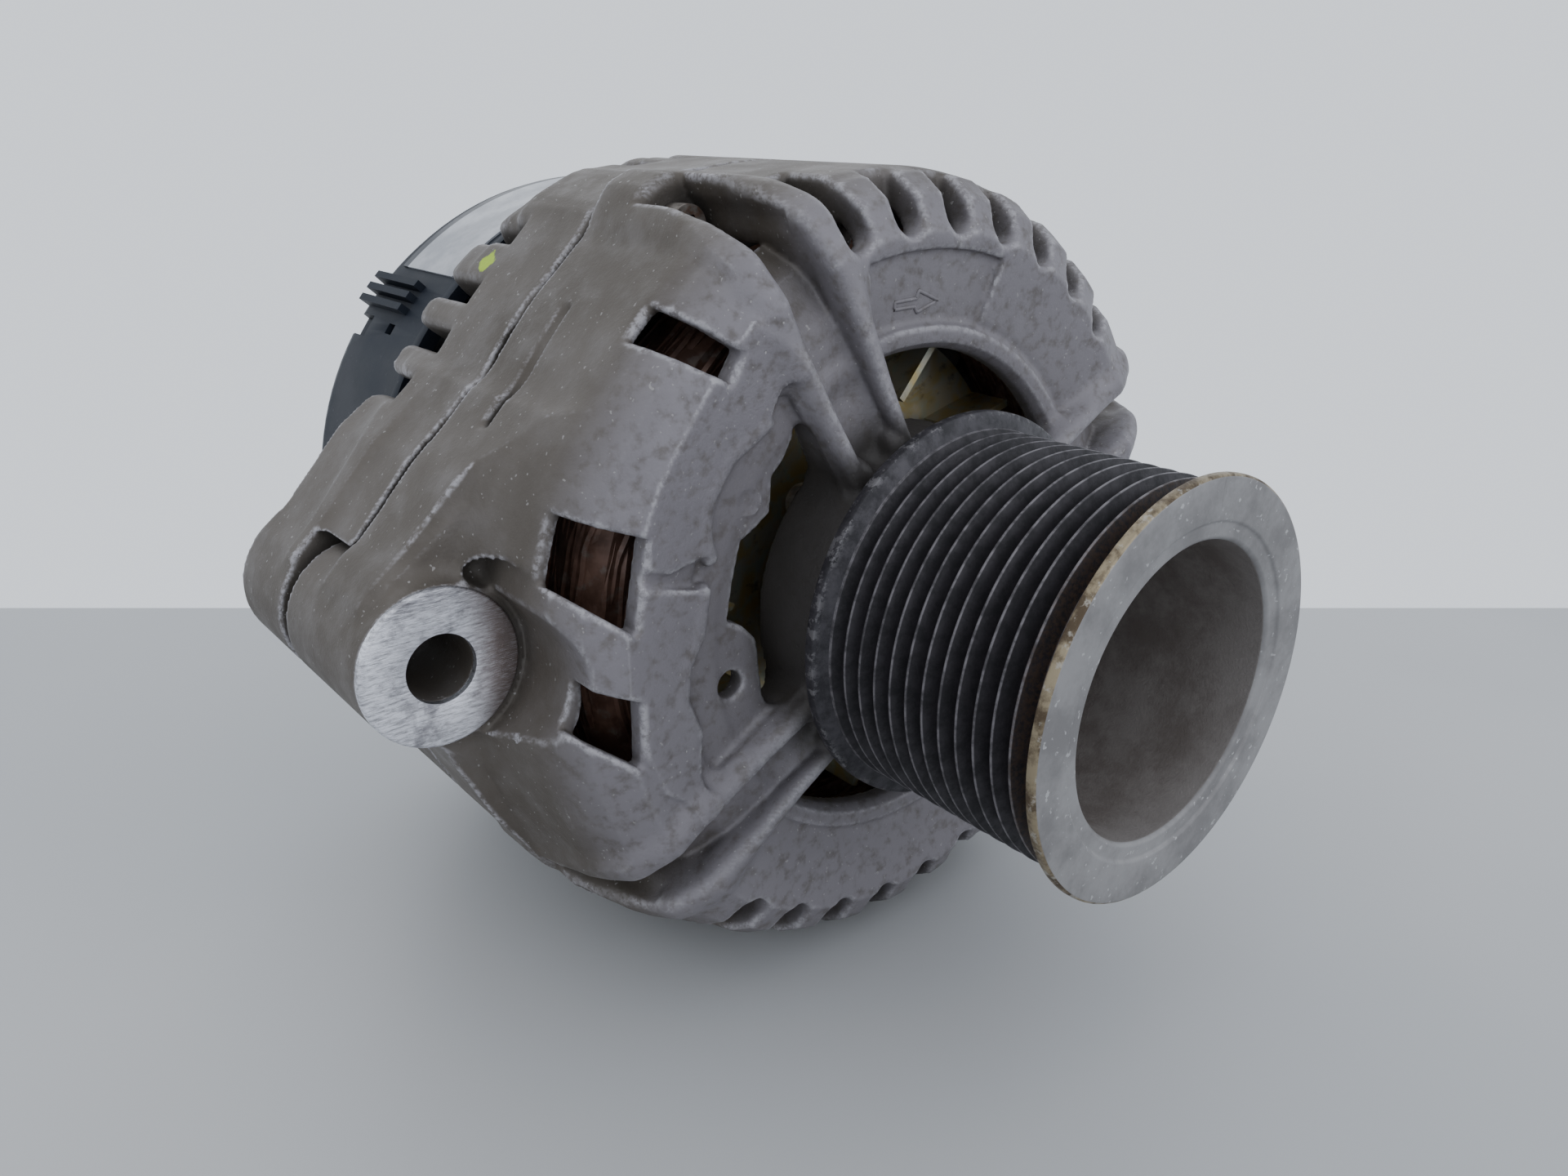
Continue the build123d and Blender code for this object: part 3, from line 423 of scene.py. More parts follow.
# --- cast housings --------------------------------------------------------------------------------
# Both shields are drawn a second time as distance fields, so that every rib, boss and window meets its
# neighbours in the soft fillets of a die casting. Lengths are in mm about the rotor axis: x, z and depth.
VOXEL = 0.64
SPOKES = [115.0, 216.0, 302.0, 22.0]
BOLT_CIRCLE = 74.8
HOUSING_R = 77.3                       # outside of both castings
WALL_R = 69.5                          # their inside
CORE_SEAT_R = 71.05                    # where the stator core sits
SPLIT_FRONT, SPLIT_BACK = 57.2, 58.8   # the gap between the castings
LUG_SECTOR = (126.0, 206.0)            # angles that the pivot lug's sector spans
FINGER_HALF, FINGER_INNER = 3.1, 69.5  # the cooling slots' half width and where their round ends are centred
LUG = np.array([-AXIS_X, -AXIS_Z])          # the pivot bore, which is the frame's origin
LUG_FACE = -CREST_DEPTH
LUG_R = 14.1
BORE_R = next(m for m in frame["record"]["mounts"] if m["name"] == "pivot_bore")["dims"]["r_mm"]


def outline_distance(u, v, outline):
    """Signed distance from points (u, v) to a closed polygon, negative inside."""
    points = np.array(outline, float)
    best = np.full(np.broadcast(u, v).shape, 1e9)
    inside = np.zeros(best.shape, bool)
    for (ax, ay), (bx, by) in zip(points, np.roll(points, -1, axis=0)):
        ex, ey = bx - ax, by - ay
        t = np.clip(((u - ax) * ex + (v - ay) * ey) / (ex * ex + ey * ey), 0.0, 1.0)
        best = np.minimum(best, (u - ax - t * ex) ** 2 + (v - ay - t * ey) ** 2)
        crosses = (ay > v) != (by > v)
        side = np.where(crosses, ax + (v - ay) * ex / np.where(ey == 0.0, 1e-9, ey), -1e9)
        inside ^= crosses & (u < side)
    return (np.sqrt(best) * np.where(inside, -1.0, 1.0)).astype(np.float32)


def blend(a, b, reach):
    """Union with a fillet of about this reach."""
    h = np.clip(0.5 + 0.5 * (b - a) / reach, 0.0, 1.0)
    return b + (a - b) * h - reach * h * (1.0 - h)


def carve(a, b, reach):
    """a without b, with edges rounded by about this reach."""
    return -blend(-a, b, reach)


class Casting:
    """A distance field on a grid of x, z and depth."""

    def __init__(self, x, z, depth):
        self.start = [int(math.floor(low / VOXEL)) for low, high in (x, z, depth)]
        stop = [int(math.ceil(high / VOXEL)) for low, high in (x, z, depth)]
        axes = [np.arange(a, b + 1) * VOXEL for a, b in zip(self.start, stop)]
        self.x = axes[0].reshape(-1, 1).astype(np.float32)
        self.z = axes[1].reshape(1, -1).astype(np.float32)
        self.depth = axes[2].astype(np.float32)
        self.r = np.hypot(self.x, self.z)
        self.theta = np.degrees(np.arctan2(self.z, self.x)) % 360.0
        self.field = np.full(self.r.shape + self.depth.shape, 20.0, np.float32)

    def across(self, theta):
        """Distances along and across the radius at this angle."""
        c, s = math.cos(math.radians(theta)), math.sin(math.radians(theta))
        return self.x * c + self.z * s, self.z * c - self.x * s

    def profile(self, u, outline):
        """Distance to an outline in (u, depth), where u is one value per x and z."""
        step = 0.25
        table_u = np.arange(-130.0, 130.0, step)
        table = outline_distance(table_u[:, None], self.depth[None, :], outline)
        place = (u + 130.0) / step
        low = np.clip(np.floor(place).astype(int), 0, len(table_u) - 2)
        part = (place - low).astype(np.float32)[..., None]
        return table[low] * (1.0 - part) + table[low + 1] * part

    def turned(self, outline):
        return self.profile(self.r, outline)

    def web(self, outline, width, theta, offset=0.0):
        along, aside = self.across(theta)
        return np.maximum(self.profile(along, outline), (np.abs(aside - offset) - width / 2)[..., None])

    def between(self, flat, front, back):
        """A front-view shape, one distance per x and z, made solid between two depths."""
        ends = np.maximum(front - self.depth, self.depth - back)
        return np.maximum(flat[..., None], ends)

    def slab(self, outline, front, back):
        return self.between(outline_distance(self.x, self.z, outline), front, back)

    def rod(self, place, radius, front, back):
        return self.between(np.hypot(self.x - place[0], self.z - place[1]) - radius, front, back)

    def stadium(self, theta, near, far, radius):
        """Distance to a round-ended bar along the radius at this angle."""
        along, aside = self.across(theta)
        return (np.hypot(along - np.clip(along, near, far), aside) - radius)[..., None]

    def sector(self, start, end):
        """Distance to the wedge between two angles, one value per x and z."""
        mid, half = (start + end) / 2.0, (end - start) / 2.0
        away = np.abs((self.theta - mid + 180.0) % 360.0 - 180.0) - half
        return (np.sin(np.radians(np.clip(away, -90.0, 90.0))) * self.r).astype(np.float32)

    def part_turned(self, outline, start, end):
        """A turned ring kept only between two angles."""
        return np.maximum(self.turned(outline), self.sector(start, end)[..., None])

    def cord(self, points, radius):
        """A round bar through (x, z, depth) points."""
        total = None
        for a, b in zip(points, points[1:]):
            a, b = np.array(a, np.float32), np.array(b, np.float32)
            e = b - a
            px, pz, pd = (self.x - a[0])[..., None], (self.z - a[1])[..., None], self.depth - a[2]
            t = np.clip((px * e[0] + pz * e[1] + pd * e[2]) / float(e @ e), 0.0, 1.0)
            distance = np.sqrt((px - t * e[0]) ** 2 + (pz - t * e[1]) ** 2 + (pd - t * e[2]) ** 2) - radius
            total = distance if total is None else np.minimum(total, distance)
        return total

    def add(self, shape, reach=1.0):
        self.field = blend(self.field, shape, reach)

    def cut(self, shape, reach=1.0):
        self.field = carve(self.field, shape, reach)

    def mesh(self, name):
        values = np.ascontiguousarray(np.clip(self.field, -4.0, 4.0).transpose(0, 2, 1))
        values[[0, -1]] = 4.0
        values[:, [0, -1]] = 4.0
        values[:, :, [0, -1]] = 4.0
        grid = openvdb.FloatGrid(4.0)
        grid.transform = openvdb.createLinearTransform(voxelSize=VOXEL)
        grid.copyFromArray(values, ijk=(self.start[0], self.start[2], self.start[1]))
        points, quads = grid.convertToQuads(isovalue=0.0)
        points = (points + np.array([AXIS_X, CREST_DEPTH, AXIS_Z])) * MM
        mesh = bpy.data.meshes.new(name)
        mesh.vertices.add(len(points))
        mesh.vertices.foreach_set("co", points.astype(np.float32).ravel())
        mesh.loops.add(quads.size)
        mesh.loops.foreach_set("vertex_index", quads.astype(np.int32).ravel())
        mesh.polygons.add(len(quads))
        mesh.polygons.foreach_set("loop_start", np.arange(0, quads.size, 4, dtype=np.int32))
        mesh.update(calc_edges=True)
        mesh.validate()
        return mesh


def on_radius(theta, along, aside, depth):
    """A point given along and beside the radius at an angle."""
    c, s = math.cos(math.radians(theta)), math.sin(math.radians(theta))
    return (along * c - aside * s, along * s + aside * c, depth)


def flat_polar(radius, theta):
    return (radius * math.cos(math.radians(theta)), radius * math.sin(math.radians(theta)))


# The lug's sector in front view: the sunk plate that edges the opening, the raised slabs and the rims of
# their steps.
PLATE = [(-28.8, 35.0), (-31.3, 30.8), (-33.7, 28.6), (-34.0, 22.5), (-37.3, 20.2), (-40.5, 18.5),
         (-42.4, 11.5), (-43.7, 4.6), (-40.4, 2.9), (-37.3, -0.5), (-36.1, -11.7), (-33.5, -17.5),
         (-46.0, -27.0), (-60.0, -18.0), (-64.0, 0.0), (-62.0, 20.0), (-52.0, 38.0), (-38.0, 49.0)]
SLABS = [[(-37.3, 37.5), (-44.4, 33.5), (-49.4, 26.2), (-48.8, 19.2), (-57.0, 17.6), (-64.5, 20.0),
          (-59.0, 33.0), (-48.0, 48.0), (-40.0, 56.0), (-32.0, 48.0)],
         [(-57.0, 14.9), (-49.4, 12.8), (-51.2, 4.9), (-53.8, 0.4), (-54.6, -6.2), (-51.8, -13.4),
          (-52.0, -28.0), (-60.0, -22.0), (-66.0, -6.0), (-66.0, 10.0), (-63.0, 16.6)]]
STEP_RIMS = [[(-36.4, 38.6), (-44.0, 34.6), (-48.6, 28.4), (-49.6, 22.0), (-48.4, 18.2)],
             [(-50.2, 12.4), (-51.4, 4.9), (-54.4, -0.2), (-55.2, -6.4), (-52.6, -13.0)]]

# Half outlines of the through-bolt bosses, as radius and turn from the bolt.
ROUND_END = [(60.0, 16.0), (74.8, 22.0), (77.8, 8.0), (79.8, 5.0), (82.4, 1.5)]
LOW_END = [(60.0, 16.0), (74.8, 22.0), (80.2, 5.2)]

# The flanks that lead the housing out to the pivot lug, above and below it.
LUG_FLANKS = [
    [(-60.3, -8.0), (-86.0, -14.0), (-84.6, -20.0), (-77.8, -34.0), (-71.5, -43.0), (-60.0, -58.0),
     (-44, -50)],
    [(-66.0, 30.0), (-86.0, 12.0), (-95.5, 12.6), (-79.5, 30.5), (-67.0, 41.0), (-56.0, 42.0)],
]


def panel_floor(radius):
    """Depth of the recessed panel's floor."""
    return 15.9 - (radius - 51.0) * 0.11


def boss_flanks(theta, half):
    """Outline that blends a through-bolt boss into the round housing, from one side's radii and turns."""
    side = [flat_polar(radius, theta - turn) for radius, turn in half]
    return side + [flat_polar(radius, theta + turn) for radius, turn in reversed(half)]


def drive_end_casting(materials):
    c = Casting((-104.0, 102.0), (-90.0, 90.0), (2.5, 71.0))
    # Bell with its open face, and the bearing hub.
    c.field = c.turned([
        (HOUSING_R, SPLIT_FRONT), (HOUSING_R, 26), (76.4, 20.5), (73.2, 15.6), (67, 12.5), (51.6, 14.9),
        (50.9, 14.2), (47.4, 14.6), (46, 16.4), (46, 19.5), (60, 17.8), (66, 17.6), (WALL_R, 22),
        (WALL_R, SPLIT_FRONT)])
    for theta in SPOKES:
        outline = c.slab(boss_flanks(theta, ROUND_END), 25.0, SPLIT_FRONT)
        cone = c.turned([(0, SPLIT_FRONT), (100, SPLIT_FRONT), (100, 46), (82.5, 38), (76.0, 24), (0, 24)])
        c.add(np.maximum(outline, cone), 4.0)
    cone = c.turned([(0, SPLIT_FRONT), (105, SPLIT_FRONT), (105, 47), (82.5, 40), (75.5, 24), (0, 24)])
    for outline in LUG_FLANKS:
        c.add(np.maximum(c.slab(outline, 25.0, SPLIT_FRONT), cone), 5.0)
    # Pivot lug: the boss along the bore and the web behind it.
    flank = [(-91.5, 15.0), (-76.0, 25.5), (-64.5, 38.0), (-64.5, -30.0), (-76.0, -20.0), (-89.0, -12.4)]
    c.add(c.slab(flank, 42.0, SPLIT_FRONT), 5.0)
    c.add(c.rod(LUG, LUG_R - 0.1, LUG_FACE + 0.5, 69.0), 4.0)
    # Shallow groove round the opening's lip; the lug's sector has its own lower plate and slabs instead.
    lip = c.turned([(50.4, 12), (51.6, 12), (51.6, 15.2), (50.4, 15.2)])
    c.cut(np.maximum(lip, -c.sector(*LUG_SECTOR)[..., None]), 0.7)
    c.cut(c.part_turned([(40, 5), (53.5, 5), (53.5, 15.5), (40, 15.5)], *LUG_SECTOR), 0.8)
    # Raised slab of the lug's sector with its stepped inner edge, and a small screw boss.
    c.add(c.slab(PLATE, 15.6, 19.6), 1.0)
    for outline in SLABS:
        tilt = (c.r - 52.0) * 0.04
        flat = outline_distance(c.x, c.z, outline)
        c.add(np.maximum(flat[..., None], np.maximum(12.7 - tilt[..., None] - c.depth, c.depth - 18.0)), 1.0)
    for line in STEP_RIMS:
        c.add(c.cord([(x, z, 14.3) for x, z in line], 1.6), 1.0)
    c.add(c.rod((-38.9, 25.3), 2.6, 15.2, 17.0), 0.3)
    c.cut(c.rod((-38.9, 25.3), 2.2, 10.0, 15.5), 0.3)
    hub = c.turned([(19.2, 5), (29.0, 5), (30.4, 9), (32.0, 22), (23.5, 22), (23.5, 8), (19.2, 8)])
    c.add(hub, 1.0)
    # Spokes: a floor, two ribs that run over the corner, and the through-bolt boss.
    ribs = [(33.0, 5.2, 10.3), (44.0, 6.2, 11.9), (55.5, 7.0, 12.8), (63.0, 7.5, 13.9), (68.3, 7.7, 15.2),
            (73.2, 7.8, 18.8), (75.8, 7.2, 27.5), (76.4, 6.6, 38.0), (76.6, 6.6, 46.0)]
    for theta in SPOKES:
        floor = [(29, 13), (44, 15.0), (56, 16.6), (66, 19), (70, 26), (70, 40), (66, 40), (60, 21),
                 (29, 21.5)]
        c.add(c.web(floor, 15.0, theta), 3.0)
        boss = [(66, 19), (74, 17.5), (78.4, 26), (81, 38), (82.0, SPLIT_FRONT), (70, SPLIT_FRONT),
                (67, 41), (66, 25)]
        boss = c.web(boss, 17.0, theta)
        c.add(np.maximum(boss, c.stadium(theta, 60.0, 73.6, 8.8)), 4.5)
        for side in (-1.0, 1.0):
            line = [on_radius(theta, along, side * aside, depth) for along, aside, depth in ribs]
            c.add(c.cord(line, 2.3), 4.2)
    for theta in SPOKES:
        channel = [(31, 2), (36, 11.8), (48, 14.2), (58, 16.4), (66.0, 20.5), (69.8, 28), (69.8, 45),
                   (95, 45), (95, 2)]
        c.cut(c.web(channel, 9.2, theta), 2.2)
    # Square the inside again: the bore of the bell, the core's seat and the bearing's seat.
    c.cut(c.rod((0, 0), WALL_R, 29.0, 80.0), 1.2)
    hollow = c.turned([(58, 17.0), (67, 16.4), (72, 18.7), (75.0, 23), (75.4, 28), (75.4, 40), (58, 40)])
    solid = 19.0 - np.hypot(c.x - LUG[0], c.z - LUG[1])
    c.cut(np.maximum(hollow, np.maximum(c.sector(*LUG_SECTOR), solid)[..., None]), 1.5)
    c.cut(c.rod((0, 0), CORE_SEAT_R, 41.0, 80.0), 0.6)
    c.cut(c.rod((0, 0), 23.5, 8.0, 30.0), 0.6)
    c.cut(c.rod((0, 0), 19.2, 0.0, 30.0), 0.6)
    for theta in SPOKES:
        c.cut(c.rod(flat_polar(BOLT_CIRCLE, theta), 5.2, 20.0, 45.0), 0.7)
    # Adjusting lug.
    c.add(c.part_turned([(72, 42), (88, 42), (88, SPLIT_FRONT), (72, SPLIT_FRONT)], 331, 355), 3.0)
    c.add(c.rod(flat_polar(91.0, 343), 10.9, 40.0, SPLIT_FRONT), 2.5)
    # Slots between the cooling fingers.
    angles = [104.0 - 10.4 * i for i in range(7)] + [234.4 + 10.4 * i for i in range(6)]
    angles += [316.5, 327.0, 359.0, 8.5]
    for theta in angles:
        along, aside = c.across(theta)
        flat = np.maximum(np.abs(aside) - FINGER_HALF, FINGER_INNER - along)
        flat = np.minimum(flat, np.hypot(along - FINGER_INNER, aside) - FINGER_HALF)
        back = 23.0 if theta < 104.0 or theta > 110.0 else 34.0
        c.cut(c.between(flat, 0.0, back), 1.5)
    # Windows in the lug's sector.
    windows = [([(-42.0, 51.0), (-57.0, 61.9), (-64.0, 57.5), (-44.8, 46.7)], 24.5),
               ([(-61.3, 24.5), (-85.0, 32.8), (-85.0, 25.5), (-64.4, 9.0)], 23.5),
               ([(-63.9, -3.1), (-85.0, 6.4), (-85.0, 0.7), (-64.1, -15.6)], 21.5)]
    for outline, back in windows:
        c.cut(c.slab(outline, 0.0, back), 0.9)
    # Recessed panel for the rotation arrow.
    panel = [(51.0, 8), (63.8, 8), (63.8, panel_floor(63.8)), (51.0, panel_floor(51.0))]
    c.cut(c.part_turned(panel, 72, 103), 0.7)
    # Long shallow groove on the outside of the lug's sector.
    c.cut(c.part_turned([(76.4, 44.9), (98, 44.9), (98, 46.5), (76.4, 46.5)], 134, 152), 1.3)
    # Machined and drilled surfaces.
    c.cut(c.between(np.hypot(c.x - LUG[0], c.z - LUG[1]) - 15.5, 0.0, LUG_FACE + 0.5), 0.7)
    c.cut(c.rod(LUG, BORE_R, 20.0, 80.0), 0.7)
    c.cut(c.rod(flat_polar(44.0, 190), 2.6, 5.0, 30.0), 0.9)
    c.cut(c.rod(flat_polar(91.0, 343), 4.25, 30.0, 70.0), 0.7)
    c.field = np.maximum(c.field, (c.depth - SPLIT_FRONT) * np.ones_like(c.field) - 40.0 * (
        np.hypot(c.x - LUG[0], c.z - LUG[1]) < LUG_R + 3.0)[..., None])
    c.cut(c.rod((0, 0), 79.0, SPLIT_FRONT, 80.0), 0.6)
    mesh = c.mesh("drive_end_casting")
    piece = link("drive_end_casting", mesh, [materials["cast_aluminium"]], angle=180.0)
    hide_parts("drive_end_shield")


def slip_ring_end_casting(materials):
    c = Casting((-104.0, 90.0), (-90.0, 90.0), (56.5, 109.0))
    c.field = c.turned([
        (HOUSING_R, SPLIT_BACK), (HOUSING_R, 91.5), (76.3, 94.8), (73.0, 96.6), (68, 97), (24, 97),
        (24, 107), (19, 107), (18.6, 92.5), (64, 92.5), (68.2, 90), (WALL_R, 86), (WALL_R, SPLIT_BACK)])
    cone = c.turned([(0, SPLIT_BACK), (105, SPLIT_BACK), (105, 72), (85.5, 76), (76.5, 86), (0, 86)])
    for theta in SPOKES:
        c.add(np.maximum(c.slab(boss_flanks(theta, LOW_END), SPLIT_BACK, 84.0), cone), 4.0)
        web = [(70, SPLIT_BACK), (79, SPLIT_BACK), (79, 82), (78, 86), (75, 90), (68, 91.5), (68, SPLIT_BACK)]
        web = c.web(web, 17.5, theta)
        c.add(np.maximum(web, c.stadium(theta, 60.0, 71.0, 9.0)), 4.0)
    for outline in LUG_FLANKS:
        c.add(np.maximum(c.slab(outline, SPLIT_BACK, 84.0), cone), 5.0)
    c.cut(c.rod(LUG, LUG_R + 1.6, 50.0, 71.6), 1.0)
    flank = [(-95.5, 12.6), (-79.5, 30.5), (-66.0, 40.0), (-64.0, -34.0), (-89.0, -12.4)]
    c.add(c.slab(flank, 73.0, 90.5), 4.0)
    c.add(c.rod(LUG, LUG_R - 0.1, 72.0, 93.0), 3.5)
    c.cut(c.between(np.hypot(c.x - LUG[0], c.z - LUG[1]) - 16.0, 50.0, 72.0), 0.8)
    c.cut(c.rod((0, 0), 69.4, 50.0, 88.0), 1.2)
    c.cut(c.rod((0, 0), CORE_SEAT_R, 50.0, 75.5), 0.6)
    slots = [124.3, 134.9, 143.2, 151.6, 190.0, 198.5] + [32 + 8.6 * i for i in range(9)]
    slots += [228 + 8.6 * i for i in range(8)] + [312 + 8.6 * i for i in range(8)]
    for theta in slots:
        c.cut(c.web([(66, 79.4), (95, 79.4), (95, 101), (66, 101)], 4.4, theta), 2.6)
    for start, end in [(20, 80), (100, 160), (190, 250), (280, 340)]:
        c.cut(c.part_turned([(30, 88), (50, 88), (50, 100), (30, 100)], start, end), 1.2)
    for place in [(-19.0, 40.0), (19.0, 40.0)]:
        c.add(c.rod(place, 4.9, 93.0, 107.0), 1.2)
        angle = math.degrees(math.atan2(place[1], place[0]))
        c.add(c.web([(21, 93), (44, 93), (44, 101), (21, 101)], 2.8, angle), 1.0)
        c.cut(c.rod(place, 2.3, 96.0, 112.0), 0.5)
    c.cut(c.rod((0, 0), 18.6, 50.0, 120.0), 0.5)
    c.cut(c.rod(LUG, 8.05, 60.0, 100.0), 0.6)
    for theta in SPOKES:
        c.cut(c.rod(flat_polar(BOLT_CIRCLE, theta), 2.55, 50.0, 85.0), 0.4)
    mesh = c.mesh("slip_ring_end_casting")
    piece = link("slip_ring_end_casting", mesh, [materials["cast_aluminium"]], angle=180.0)
    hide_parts("slip_ring_end_shield")


def rotation_arrow(materials):
    """The thin raised outline of an arrow on the recessed panel."""
    outline = [
        (-6.0, 53.8), (-6.0, 55.1), (-0.7, 55.3), (-0.3, 56.7), (5.0, 54.5), (-0.2, 52.8), (-1.0, 53.9)]
    loop = []
    for (ax, az), (bx, bz) in zip(outline, outline[1:] + outline[:1]):
        for t in np.linspace(0.0, 1.0, 6, endpoint=False):
            x, z = ax + (bx - ax) * t, az + (bz - az) * t
            depth = panel_floor(math.hypot(x, z)) + 0.12
            loop.append(Vector((AXIS_X + x, depth + CREST_DEPTH, AXIS_Z + z)))
    mesh = tube_loops("rotation_arrow", [loop], 0.42, 8)
    piece = link("rotation_arrow", mesh, [materials["cast_aluminium"]], angle=60.0)


def lug_landing(materials):
    """The machined landing of the front lug, as a thin turned ring set into the casting."""
    profile = rounded([(BORE_R, 0.0), (13.7, 0.0), (14.0, 0.35), (14.0, 1.4), (BORE_R, 1.4)], 0.2)[0]
    mesh = lathe("lug_landing", profile, [0] * len(profile), 128, (0.0, 0.0), 0.0)
    piece = link("lug_landing", mesh, [materials["machined_face"]], angle=32.0)


# --- windings -------------------------------------------------------------------------------------
def tube_loops(name, loops, radius, sides=5):
    """Closed round wires along loops of points."""
    points, faces = [], []
    for loop in loops:
        count, start = len(loop), len(points)
        for i, place in enumerate(loop):
            ahead = (loop[(i + 1) % count] - loop[i - 1]).normalized()
            out = Vector((place.x - AXIS_X, 0.0, place.z - AXIS_Z)).normalized()
            up = ahead.cross(out).normalized()
            out = up.cross(ahead)
            for k in range(sides):
                a = 2.0 * math.pi * k / sides
                points.append((place + (out * math.cos(a) + up * math.sin(a)) * radius) * MM)
        for i in range(count):
            for k in range(sides):
                a, b = start + i * sides, start + ((i + 1) % count) * sides
                n = (k + 1) % sides
                faces.append((a + k, b + k, b + n, a + n))
    return mesh_of(name, points, faces)


def build_windings(materials):
    """Lacquered wires laid round the outside of both end turns, wavy where they pass from slot to slot."""
    sections = [[(54.2, 39.5), (53.6, 33.0), (53.8, 28.0), (55.4, 25.6), (60.0, 25.2), (63.6, 25.6),
                 (65.6, 28.6), (65.8, 34.0), (65.6, 39.5)],
                [(54.2, 77.0), (53.6, 82.0), (54.4, 87.5), (56.0, 90.0), (60.0, 90.3), (63.4, 90.0),
                 (65.6, 87.0), (65.8, 82.0), (65.6, 77.0)]]
    steps = 216
    loops = []
    for section in sections:
        corners = np.array(section)
        lengths = np.r_[0.0, np.cumsum(np.linalg.norm(np.diff(corners, axis=0), axis=1))]
        for at in np.arange(0.4, lengths[-1], 1.45):
            radius = np.interp(at, lengths, corners[:, 0])
            depth = np.interp(at, lengths, corners[:, 1])
            phase, lift = rng.uniform(0.0, 6.28), rng.uniform(-0.25, 0.25)
            slow, fast = rng.uniform(0.3, 0.6), rng.uniform(0.15, 0.35)
            loop = []
            for i in range(steps):
                a = 2.0 * math.pi * i / steps
                wave = slow * math.sin(18.0 * a + phase) + fast * math.sin(41.0 * a + 2.0 * phase)
                side = slow * math.sin(12.0 * a + 1.7 * phase) + fast * math.sin(36.0 * a + phase)
                loop.append(polar(radius - 0.35 + 0.5 * wave + lift, math.degrees(a), depth + 0.9 * side))
            loops.append(loop)
    mesh = tube_loops("winding_wires", loops, 0.72, 5)
    piece = link("winding_wires", mesh, [materials["enamelled_copper"]], angle=70.0)


# --- pulley ---------------------------------------------------------------------------------------
GROOVES, PITCH, CREST_R, ROOT_R = 12, 3.56, 34.1, 31.2


def lathe(name, profile, slots, segments=256, centre=None, back=CREST_DEPTH):
    """A closed solid of revolution. profile holds (radius, depth) and slots one material number a run."""
    cx, cz = centre or (AXIS_X, AXIS_Z)
    angles = np.linspace(0.0, 2.0 * math.pi, segments, endpoint=False)
    points, faces, marks = [], [], []
    count = len(profile)
    for a in angles:
        for radius, depth in profile:
            points.append((cx + radius * math.cos(a), depth + back, cz + radius * math.sin(a)))
    for i in range(segments):
        j = (i + 1) % segments
        for k in range(count):
            n = (k + 1) % count
            faces.append((i * count + k, i * count + n, j * count + n, j * count + k))
            marks.append(slots[k])
    mesh = mesh_of(name, np.array(points) * MM, faces)
    mesh.polygons.foreach_set("material_index", marks)
    bm = bmesh.new()
    bm.from_mesh(mesh)
    bmesh.ops.recalc_face_normals(bm, faces=bm.faces)
    bm.to_mesh(mesh)
    bm.free()
    return mesh


def rounded(profile, radius, steps=3):
    """The profile with each corner cut by a short arc of about this radius."""
    out, source = [], []
    count = len(profile)
    for k in range(count):
        before, here, after = (np.array(profile[(k + d) % count]) for d in (-1, 0, 1))
        a, b = before - here, after - here
        reach = min(radius, 0.45 * np.linalg.norm(a), 0.45 * np.linalg.norm(b))
        p, q = here + a / np.linalg.norm(a) * reach, here + b / np.linalg.norm(b) * reach
        for t in np.linspace(0.0, 1.0, steps):
            out.append(tuple((1 - t) ** 2 * p + 2 * t * (1 - t) * here + t ** 2 * q))
            source.append(k if t == 1.0 else (k - 1) % count if t == 0.0 else k)
    return out, source


def build_pulley(materials):
    front = PULLEY_FRONT - CREST_DEPTH
    outline = [(8.5, 3.2, 3), (37.0, 3.2, 3), (37.0, 1.3, 3), (CREST_R, 0.25, 0)]
    for i in range(GROOVES):
        crest = -PITCH * i
        outline += [(CREST_R, crest - 0.25, 0), (ROOT_R, crest - PITCH / 2 + 0.35, 0),
                    (ROOT_R, crest - PITCH / 2 - 0.35, 0), (CREST_R, crest - PITCH + 0.25, 0)]
    last = -PITCH * GROOVES
    outline += [(CREST_R, last - 0.25, 2), (36.1, last - 1.1, 2), (36.1, front + 0.4, 2), (35.7, front, 1)]
    outline += [(28.8, front, 1), (28.4, front + 0.5, 1), (26.1, front + 0.5, 1), (25.5, front + 1.1, 4)]
    outline += [(25.5, -6.0, 4), (15.0, -6.0, 4), (15.0, -8.0, 4), (8.5, -8.0, 4)]
    profile, source = rounded([p[:2] for p in outline], 0.28)
    slots = [outline[k][2] for k in source]
    mesh = lathe("pulley_body", profile, slots)
    parts = [materials["pulley_steel"], pulley_face(), pulley_rim(), pulley_flange(), pulley_recess()]
    piece = link("pulley_body", mesh, parts, body="rotor", angle=32.0)
    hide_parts("pulley")


# --- carried-over CAD nodes -----------------------------------------------------------------------
BEVELS = {
    "through_bolts": 0.35, "output_nut": 0.5, "output_stud": 0.3, "pulley_nut": 0.6, "cover_screws": 0.4,
    "retainer_screws": 0.3, "rectifier_screws": 0.3, "regulator_screws": 0.3, "plug_socket": 0.4,
    "output_insulator": 0.5, "rear_cover": 0.5, "pivot_bushing": 0.3, "bearing_retainer": 0.3,
    "regulator": 0.4, "brush_holder": 0.4, "rectifier_carrier": 0.3, "minus_heat_sink": 0.2,
    "plus_heat_sink": 0.2,
    "front_fan": 0.2, "rear_fan": 0.2, "claw_pole_front": 0.6, "claw_pole_rear": 0.6, "rotor_shaft": 0.3,
}


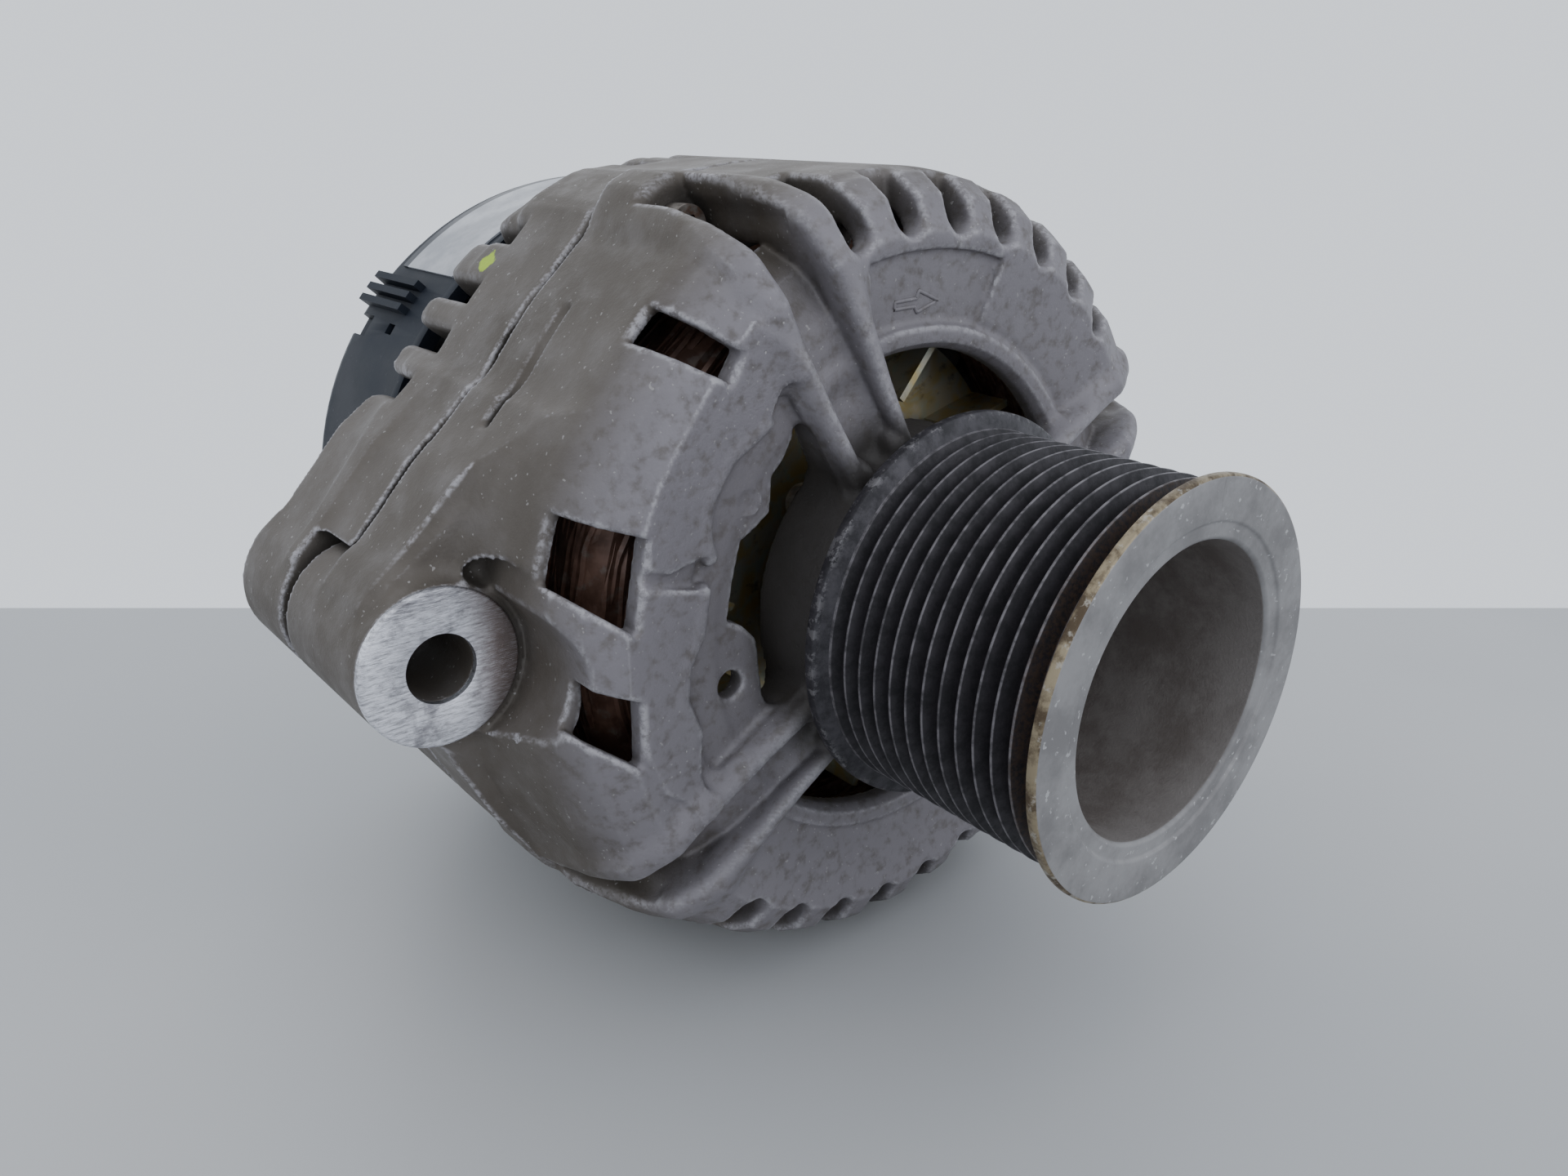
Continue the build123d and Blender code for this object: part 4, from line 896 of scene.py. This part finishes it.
def finish_nodes(materials):
    slots = {p["node"]: p["material_slot"] for p in frame["record"]["subparts"]}
    for name, piece in NODES.items():
        piece.data.materials.clear()
        piece.data.materials.append(materials[slots[name]])
        weld = piece.modifiers.new("weld", "WELD")
        weld.merge_threshold = 0.00001
        if name in BEVELS:
            bevel = piece.modifiers.new("bevel", "BEVEL")
            bevel.width = BEVELS[name] * MM
            bevel.segments = 2
            bevel.limit_method = "ANGLE"
            bevel.angle_limit = math.radians(35)
            bevel.harden_normals = True


# --- floor, light and camera ----------------------------------------------------------------------
FLOOR_Z = -79.0                        # the housing's lowest point, in mm
CAMERA_PLACE = (-69.0, -169.8, 84.7)
CAMERA_HEADING, CAMERA_PITCH = 39.87, 21.96
CAMERA_LENS = 27.18
TABLE_BEHIND = 387.0                   # from the camera to the table's far edge


def build_stage():
    heading = math.radians(CAMERA_HEADING)
    ahead = Vector((math.sin(heading), math.cos(heading), 0.0))
    across = Vector((math.cos(heading), -math.sin(heading), 0.0))
    foot = Vector((CAMERA_PLACE[0], CAMERA_PLACE[1], FLOOR_Z))
    far, near, side = foot + ahead * TABLE_BEHIND, foot - ahead * 900.0, across * 1100.0
    corners = [far - side, far + side, near + side, near - side]
    mesh = mesh_of("floor", [c * MM for c in corners], [(0, 1, 2, 3)])
    floor = link("floor", mesh, [], body=None, smooth=False)
    s = Shader("floor_paint")
    broad = s.noise(220.0, 3.0, 0.5)
    fine = s.noise(1.2, 3.0, 0.6)
    base = s.mix(s.span(broad, 0.35, 0.65), (0.415, 0.425, 0.435), (0.45, 0.455, 0.46))
    floor.data.materials.append(s.finish(base, s.span(broad, 0.3, 0.7, 0.5, 0.42), fine, 0.05, 0.3))

    world = bpy.data.worlds.new("studio")
    world.use_nodes = True
    world.node_tree.nodes["Background"].inputs["Color"].default_value = (0.66, 0.70, 0.76, 1.0)
    world.node_tree.nodes["Background"].inputs["Strength"].default_value = 1.60
    bpy.context.scene.world = world

    centre = Vector((86.9, 10.0, 0.0)) * MM
    lights = [("key", (-0.45, 0.10, 0.85), 0.9, 1.2, (1.0, 0.97, 0.93)),
              ("fill", (0.20, -1.10, 0.45), 1.0, 3.7, (0.93, 0.94, 1.0)),
              ("back", (0.45, 0.85, 0.85), 0.9, 2.2, (0.95, 0.97, 1.0))]
    for name, place, size, power, colour in lights:
        lamp = bpy.data.lights.new(name, "AREA")
        lamp.size = size
        lamp.energy = power
        lamp.color = colour
        source = bpy.data.objects.new(name, lamp)
        source.location = centre + Vector(place)
        source.rotation_mode = "QUATERNION"
        source.rotation_quaternion = (-Vector(place)).to_track_quat("-Z", "Y")
        bpy.context.scene.collection.objects.link(source)


def build_camera():
    data = bpy.data.cameras.new("camera")
    data.lens = CAMERA_LENS
    data.sensor_width = 36.0
    data.clip_start = 0.005
    camera = bpy.data.objects.new("camera", data)
    camera.location = Vector(CAMERA_PLACE) * MM
    heading, pitch = math.radians(CAMERA_HEADING), math.radians(CAMERA_PITCH)
    flat = math.cos(pitch)
    look = Vector((math.sin(heading) * flat, math.cos(heading) * flat, -math.sin(pitch)))
    camera.rotation_mode = "QUATERNION"
    camera.rotation_quaternion = look.to_track_quat("-Z", "Y")
    bpy.context.scene.collection.objects.link(camera)
    bpy.context.scene.camera = camera


# --- put it together ------------------------------------------------------------------------------
MATERIALS = build_materials()
finish_nodes(MATERIALS)
drive_end_casting(MATERIALS)
slip_ring_end_casting(MATERIALS)
rotation_arrow(MATERIALS)
lug_landing(MATERIALS)
build_windings(MATERIALS)
build_pulley(MATERIALS)
build_stage()
build_camera()
